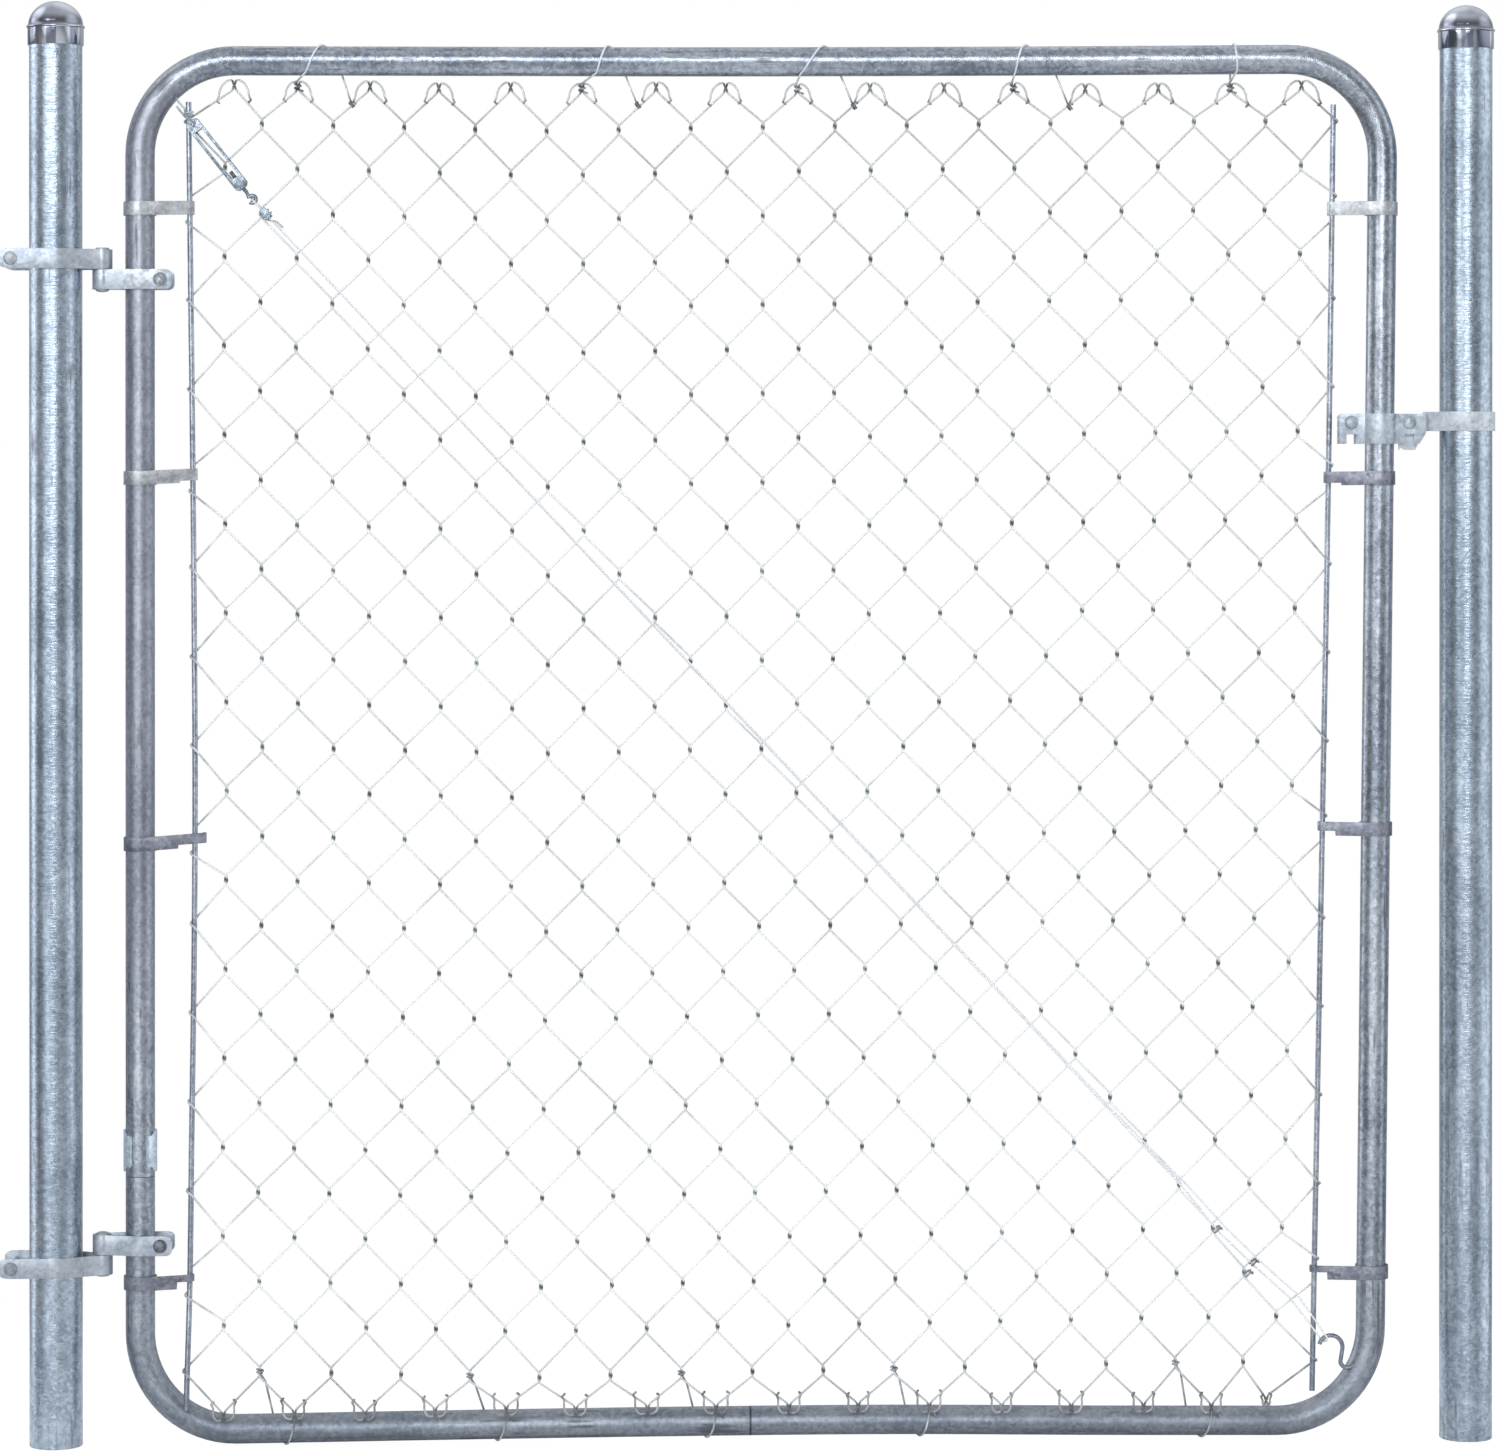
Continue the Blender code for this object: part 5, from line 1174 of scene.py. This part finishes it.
# %% The truss line
TRUSS_DEPTH = -0.0105
ANCHOR_HEIGHT = FRAME_TOP - 0.0660
TRUSS_CORNER = Vector((1.50182, TRUSS_DEPTH, 0.05213))
CABLE_KNEE = TRUSS_CORNER + Vector((-0.0585, 0.0, 0.1129))
TURNBUCKLE_DIP = radians(4.85)
BODY_START = 0.0045
BODY_LENGTH = 0.0974
anchor_start = Vector((bar_spot("hinge", ANCHOR_HEIGHT)[0], TRUSS_DEPTH, ANCHOR_HEIGHT))
truss_way = CABLE_KNEE - anchor_start
truss_angle = atan2(truss_way.z, truss_way.x) - TURNBUCKLE_DIP
truss_along = Vector((cos(truss_angle), 0.0, sin(truss_angle)))
truss_aside = Vector((-truss_along.z, 0.0, truss_along.x))


def along_truss(distance, across=0.0):
    return anchor_start + truss_along * distance + truss_aside * across


eased_copy("turnbuckle_body", "turnbuckle_frame", turnbuckle_zinc, "gate", "bright_zinc", 0.0006)
eased_copy("cable_clip", "cable_ferrule", turnbuckle_zinc, "gate", "bright_zinc", 0.0004)
print("truss falls", round(-degrees(truss_angle), 1), "degrees")

# %% [markdown]
# The rod below the turnbuckle is threaded where it enters the block and bent into an eye at its
# end. A thread is written as a radius that steps in and out along the sweep.

# %% Eye rod and S hook
EYE_ROD_RADIUS = 0.0024
EYE_RING = 0.0041
ROD_PITCH = 0.0006
EYE_BELOW_BODY = 0.0160
ROD_LENGTH = 0.0400
EYE_NECK = 0.0105
eye_centre = BODY_START + BODY_LENGTH + EYE_BELOW_BODY
rod_start, rod_end = eye_centre - ROD_LENGTH, eye_centre - EYE_NECK
count = int((rod_end - rod_start) / ROD_PITCH)
rod_path = [along_truss(rod_start + (rod_end - rod_start) * share) for share in shares(count)]
rod_radii = [EYE_ROD_RADIUS - (0.0004 if i % 2 else 0.0) for i in range(count + 1)]
for distance, across in arc((eye_centre, 0.0), EYE_RING, 205, 205 - 285, 26):
    rod_path.append(along_truss(distance, across))
    rod_radii.append(EYE_ROD_RADIUS)
swept_piece("threaded_eye_rod", rod_path, rod_radii, 12, turnbuckle_zinc, "bright_zinc",
            "turnbuckle_eye_rod", sharp=50.0)

HOOK_TOP = TRUSS_CORNER + Vector((-0.0156, 0.0, 0.0541))
HOOK_FOOT = TRUSS_CORNER + Vector((0.0034, 0.0, 0.0385))
HOOK_RADIUS = 0.0025
HOOK_BOW, HOOK_TOE = 0.0135, 0.0080
hook_flat = arc((HOOK_TOP.x, HOOK_TOP.z), HOOK_BOW, 165, -8, 24)
hook_flat += arc((HOOK_FOOT.x, HOOK_FOOT.z), HOOK_TOE, 188, 290, 16)
hook_flat.append(on_circle(hook_flat[-1], HOOK_TOE, 290 + 90))
swept_piece("bent_s_hook", [(x, TRUSS_DEPTH, z) for x, z in hook_flat], HOOK_RADIUS, 14, frame_zinc,
            "frame_zinc", "truss_s_hook", sharp=50.0)
print("eye rod and hook bent")

# %% [markdown]
# The cable is one length, doubled: from the eye over the knee to the hook and back. Each run is
# laid up from three strands, so three wires wind about the same centre line.

# %% Cable
CABLE_RADIUS = 0.00125
STRAND_RADIUS = 0.00062
STRANDS = 3
LAY = 0.016
RUN_SPREAD = 0.0045
FORWARD = Vector((0.0, -1.0, 0.0))
LASHED = [Vector((x, TRUSS_DEPTH, z)) for x, z in ((1.2315, 0.3810), (1.3186, 0.2912),
                                                  (1.3612, 0.2416), (1.3990, 0.2047))]
APART = (0.25, 0.60, 1.0, 1.0)
rim = along_truss(eye_centre + EYE_RING)
bearing_x, bearing_z = on_circle((HOOK_TOP.x, HOOK_TOP.z), HOOK_BOW, 127)
bearing = Vector((bearing_x, TRUSS_DEPTH, bearing_z))
pull = (CABLE_KNEE - rim).normalized()


def half_loop(centre, pull, side):
    """Half a turn of cable behind a bearing point, from one side round to the other."""
    return [centre - pull * side.length * away + side * aside
            for aside, away in arc((0, 0), 1.0, 0, 180, 12)]


def cable_line():
    """The centre line of the whole cable, closed at the eye."""
    eye_turn, hook_turn = (radius + CABLE_RADIUS + SEAT_GAP for radius in (EYE_ROD_RADIUS, HOOK_RADIUS))
    spread = Vector((-pull.z, 0.0, pull.x)) * RUN_SPREAD
    front = FORWARD * hook_turn + spread
    over_hook = (spread.normalized() + FORWARD).normalized() * (hook_turn + 0.0006)
    corners = half_loop(rim, pull, FORWARD * eye_turn)[::-1]
    corners += [spot + front * share for spot, share in zip(LASHED, APART)] + [CABLE_KNEE + front]
    corners += half_loop(bearing, (CABLE_KNEE - bearing).normalized(), over_hook) + [CABLE_KNEE - front]
    corners += [spot - front * share for spot, share in zip(LASHED, APART)][::-1]
    return divided(corners + corners[:1], LAY / 6)


def laid_strands(line, offset):
    """Wires that wind about one line."""
    routes = [[] for _ in range(STRANDS)]
    gone = 0.0
    for index, point in enumerate(line):
        before = line[max(index - 1, 0)]
        way = (line[min(index + 1, len(line) - 1)] - before).normalized()
        side = way.cross(-FORWARD).normalized()
        other = way.cross(side)
        gone += (point - before).length
        for number, route in enumerate(routes):
            x, y = on_circle((0, 0), offset, 360 * (gone / LAY + number / STRANDS))
            route.append((point + side * x + other * y, 0.0))
    return routes


wire_piece("laid_cable", laid_strands(cable_line(), CABLE_RADIUS - STRAND_RADIUS), STRAND_RADIUS,
           truss_wire, "truss_cable", sides=5)
print("cable doubled over", round((CABLE_KNEE - rim).length, 3), "m to the knee")

# %% [markdown]
# At its upper end the turnbuckle hangs from a soft wire: up from the hole in the block, twice
# round the tension bar, and its two ends left standing. A second wire is twisted over the clip.

# %% Anchor wire
ANCHOR_WIRE = 0.0013
ANCHOR_HOLE = 0.0048
CLIP_BELOW_EYE = 0.0185
COIL_STEPS = 9
anchor_finish = wire_finish("anchor_wire", (0.70, 0.74, 0.78), (0.22, 0.23, 0.25))


def coil(centre, along, radius, turns, length, start=0.0):
    """A few turns of wire about a line, from a start angle in degrees."""
    along = Vector(along).normalized()
    side = along.orthogonal().normalized()
    other = along.cross(side)
    points = []
    for share in shares(round(turns * COIL_STEPS)):
        x, y = on_circle((0, 0), radius, start + 360 * turns * share)
        points.append(Vector(centre) + along * length * (share - 0.5) + side * x + other * y)
    return points


# Gives every point of a route one darkness: grime, and painted shade where the wire touches another.
def toned(points, grime_and_shade):
    return [(point, grime_and_shade) for point in points]


def beside(point, *offsets):
    """Points at some offsets from a point."""
    return [point + Vector(offset) for offset in offsets]


hole = along_truss(BODY_START + ANCHOR_HOLE)
turn_height = ANCHOR_HEIGHT + 0.006
wraps = coil((bar_spot("hinge", turn_height)[0], 0.0, turn_height), (0.0, 0.0, 1.0),
             BAR_RADIUS + ANCHOR_WIRE + WIRE_GAP, 2.2, 0.0075, start=degrees(2.0))
tail_a = beside(wraps[-1], (-0.004, 0.001, 0.004), (-0.0085, 0.0, 0.009), (-0.0105, 0.0005, 0.0165))
tail_b = beside(wraps[0], (-0.005, -0.001, 0.006), (-0.0095, -0.001, 0.012))
front_leg = beside(hole, (0.0, -0.0068, 0.0), (-0.006, -0.0060, 0.006))
back_leg = beside(hole, (0.0, 0.0068, 0.0), (-0.004, 0.0068, 0.007))
upward = front_leg[:1] + [hole] + back_leg + wraps + tail_a
downward = beside(hole, (0.0, -0.0068, -0.002)) + front_leg + wraps[:12][::-1] + tail_b
clip_centre = rim + pull * CLIP_BELOW_EYE
lashing = coil(clip_centre, pull, 0.0056, 2.0, 0.009)
lashing += beside(clip_centre + pull * 0.014, (0.003, -0.004, 0.001))
lashing += beside(clip_centre + pull * 0.026, (0.002, -0.004, 0.003))
wire_piece("anchor_wires", [toned(upward, 0.15), toned(downward, 0.25), toned(lashing, 0.3)],
           ANCHOR_WIRE, anchor_finish, "truss_anchor_wire", sides=9)
print("anchor wire wound", len(wraps), "points round the bar")

# %% [markdown]
# ## Ties
# Aluminium ties hold the mesh to the rails. A tie at the top starts as a hook on one crown, goes
# up over the rail at a slant, comes out behind it and hooks the next crown. A tie at the foot
# starts at a crossing, goes down behind the rail and comes up in front to a crown.

# %% Ties
TIE_RADIUS = 0.00125
TIE_REACH = 0.049
RAIL_STEPS = 20
# Column of the crown, where the tie meets the rail below and above, and if it reaches the next
TOP_TIES = ((3, 0.009, 0.028, 1), (11, 0.016, 0.030, 1), (17, 0.003, 0.030, 1), (23, 0.001, 0.014, 1),
            (29, 0.006, 0.001, 0))
FOOT_TIES = (3, 9, 15, 21, 29)
CABLE_WRAPS = ((1.3560, 0.2415), (1.3985, 0.2035), (1.3915, 0.1905))


def round_rail(first_x, last_x, first_turn, last_turn, rail_z, bow):
    """Wire wound about a rail. A turn of 0 is in front of it, 90 on top and 180 behind."""
    reach = FRAME_RADIUS + TIE_RADIUS + WIRE_GAP
    points = []
    for share in shares(RAIL_STEPS):
        x = first_x + (last_x - first_x) * share
        inward, up = on_circle((0, rail_z + rail_bow(bow, x)), reach,
                               first_turn + (last_turn - first_turn) * share)
        points.append(Vector((x, -inward, up)))
    return points


def top_tie(column, foot_shift, head_shift, reaches_next):
    """From a hook on one crown, over the rail, to a hook on the next crown's leg."""
    x = crossing(column, 1)[0] + crown_changes[column, 0][0]
    tip = TOP_TIP + crown_changes[column, 0][1]
    hook = [Vector((x + 0.006, -0.006, tip - 0.011))]
    hook += coil((x, 0.0, tip - 0.005), (0.0, 0.0, 1.0), 0.0036, 1.4, 0.007, start=degrees(0.6))
    if not reaches_next:
        over = round_rail(x + foot_shift, x + head_shift, -50, 235, FRAME_TOP, TOP_RAIL_BOW)
        return toned(hook, 0.5) + toned(over, 0.0) + toned([Vector((x, 0.003, tip - 0.002))], 0.3)
    over = round_rail(x + foot_shift, x + TIE_REACH, -50, 225, FRAME_TOP, TOP_RAIL_BOW)
    lean = head_shift - foot_shift - 0.5 * (TIE_REACH - foot_shift)
    for index, point in enumerate(over):
        point.x += lean * sin(pi * index / RAIL_STEPS)
    next_tip = TOP_TIP + crown_changes[column + 2, 0][1]
    leg = (crossing(column + 2, 1)[0] - 0.019, 0.0, next_tip - 0.026)
    last = coil(leg, (0.7, 0.0, 0.7), 0.0034, 1.5, 0.004)
    return toned(hook, 0.5) + toned(over, 0.0) + toned(last, 0.6)


def foot_tie(column):
    """From a crossing, down behind the rail, under it and up in front to a crown."""
    x = crossing(column, ROWS - 1)[0] + crown_changes[column, ROWS][0]
    node_x, node_z = crossing(column - 1, ROWS - 1)
    node = Vector((node_x, fabric_y(node_x, node_z), node_z))
    start = coil(node, (0.0, 0.0, 1.0), 0.0036, 1.5, 0.005) + beside(node, (0.006, 0.002, -0.012))
    under = round_rail(x - 0.026, x - 0.003, 128, 345, FRAME_FOOT, FOOT_RAIL_BOW)
    end = beside(Vector((x, 0.0, foot_tip(x))), (0.001, -0.0215, 0.003), (0.005, -0.0215, -0.001),
                 (0.008, -0.020, -0.005))
    return toned(start, 0.5) + toned(under, 0.4) + toned(end, 0.7)


tie_routes = [top_tie(*tie) for tie in TOP_TIES] + [foot_tie(column) for column in FOOT_TIES]
for x, z in CABLE_WRAPS:
    tie_routes.append(toned(coil((x, -0.008, z), (0.7, 0.0, -0.7), 0.0046, 1.7, 0.006), 0.55))
wire_piece("tie_wires", tie_routes, TIE_RADIUS, tie_wire, wander=0.0006, seed=8.0, sides=8)
print(len(tie_routes), "ties and wraps")

# %% [markdown]
# ## Studio
# Bare metal shows what it mirrors. Across a round tube the photograph has a light band left of
# the middle, a dark one right of it, a second light band near the right edge and dark edges, so
# the sky that lights the gate is grey with soft bright lobes. The camera itself sees pure white
# behind the gate, as in the cut-out.

# %% World
AMBIENT = 0.22
# Azimuth and elevation, the cones inside which it is full and outside which it is gone, strength
LOBES = ((-31, 6, 4, 26, 0.95), (-4, 14, 4, 14, 7.0), (85, 8, 8, 45, 1.1), (0, 90, 20, 75, 0.42),
         (0, -40, 15, 60, 0.5), (-106, 5, 6, 24, 1.8), (175, 20, 20, 70, 0.35), (-104, 34, 10, 34, 1.2))
world = bpy.data.worlds.new("studio")
bpy.context.scene.world = world
world.use_nodes = True
sky = Nodes(world.node_tree)
background = sky.tree.nodes["Background"]
world_way = sky.node("ShaderNodeTexCoord", {})["Generated"]
light = AMBIENT
for azimuth, elevation, inner, outer, strength in LOBES:
    facing = sky.field("ShaderNodeVectorMath", "Value",
                       {0: world_way, 1: direction(azimuth, elevation)}, operation="DOT_PRODUCT")
    near, far = cos(radians(inner)), cos(radians(outer))
    light = light + strength * sky.rises(facing, far, near)
cool = sky.node("ShaderNodeCombineColor", {0: 0.97 * light, 1: light, 2: 1.04 * light})[0]
seen = sky.node("ShaderNodeLightPath", {})["Is Camera Ray"]
sky.tree.links.new(sky.blend(seen, cool, (1.0, 1.0, 1.0)), background.inputs["Color"])
background.inputs["Strength"].default_value = 1.0
bpy.context.scene.view_settings.view_transform = "Standard"
print("sky with", len(LOBES), "lobes")

# %% [markdown]
# One soft lamp in front, on the left, gives the fittings a side and lets the gate drop a faint
# shadow on the floor.

# %% Lamp
LAMP_PLACE = Vector((-2.2, -4.2, 2.9))
LAMP_AIM = Vector((0.83, 0.0, 0.85))
LAMP_SIZE = 2.4
LAMP_POWER = 40.0
lamp_data = bpy.data.lights.new("key_lamp", "AREA")
lamp_data.shape = "DISK"
lamp_data.size = LAMP_SIZE
lamp_data.energy = LAMP_POWER
lamp = linked("key_lamp", lamp_data)
lamp.location = LAMP_PLACE
lamp.rotation_euler = (LAMP_AIM - LAMP_PLACE).to_track_quat("-Z", "Y").to_euler()
print("lamp of", LAMP_POWER, "W")

# %% [markdown]
# The floor is a pale sheet just under the posts. To the camera it is mostly its own white, so
# that it meets the background without a line, with a share left for the shadow of the gate.

# %% Floor
FLOOR_MIDDLE = Vector((0.83, 0.1, -0.0005))
FLOOR_SIZE = (2.4, 1.3, 1.0)
FLOOR_WHITE = 1.08
FLOOR_GLOW = 0.88
finish = Finish("studio_floor", 0.0, 0.9)
pale = finish.ramp(finish.grain(finish.place(), 6.0),
                   [(0.3, (0.93, 0.93, 0.93)), (0.7, (0.96, 0.96, 0.96))])
finish.tree.links.new(pale, finish.shader.inputs["Base Color"])
glow = finish.node("ShaderNodeEmission", {"Color": (1.0, 1.0, 1.0, 1.0), "Strength": FLOOR_WHITE})[0]
share = FLOOR_GLOW * finish.field("ShaderNodeLightPath", "Is Camera Ray", {})
both = finish.node("ShaderNodeMixShader", {0: share, 1: finish.shader.outputs[0], 2: glow})[0]
finish.tree.links.new(both, finish.tree.nodes["Material Output"].inputs["Surface"])
mesh = bmesh.new()
bmesh.ops.create_grid(mesh, x_segments=8, y_segments=6, size=0.5)
bmesh.ops.scale(mesh, verts=mesh.verts, vec=FLOOR_SIZE)
bmesh.ops.translate(mesh, verts=mesh.verts, vec=FLOOR_MIDDLE)
floor_data = bpy.data.meshes.new("studio_floor")
mesh.to_mesh(floor_data)
mesh.free()
floor_data.materials.append(finish.material)
linked("studio_floor", floor_data)
print("floor laid")
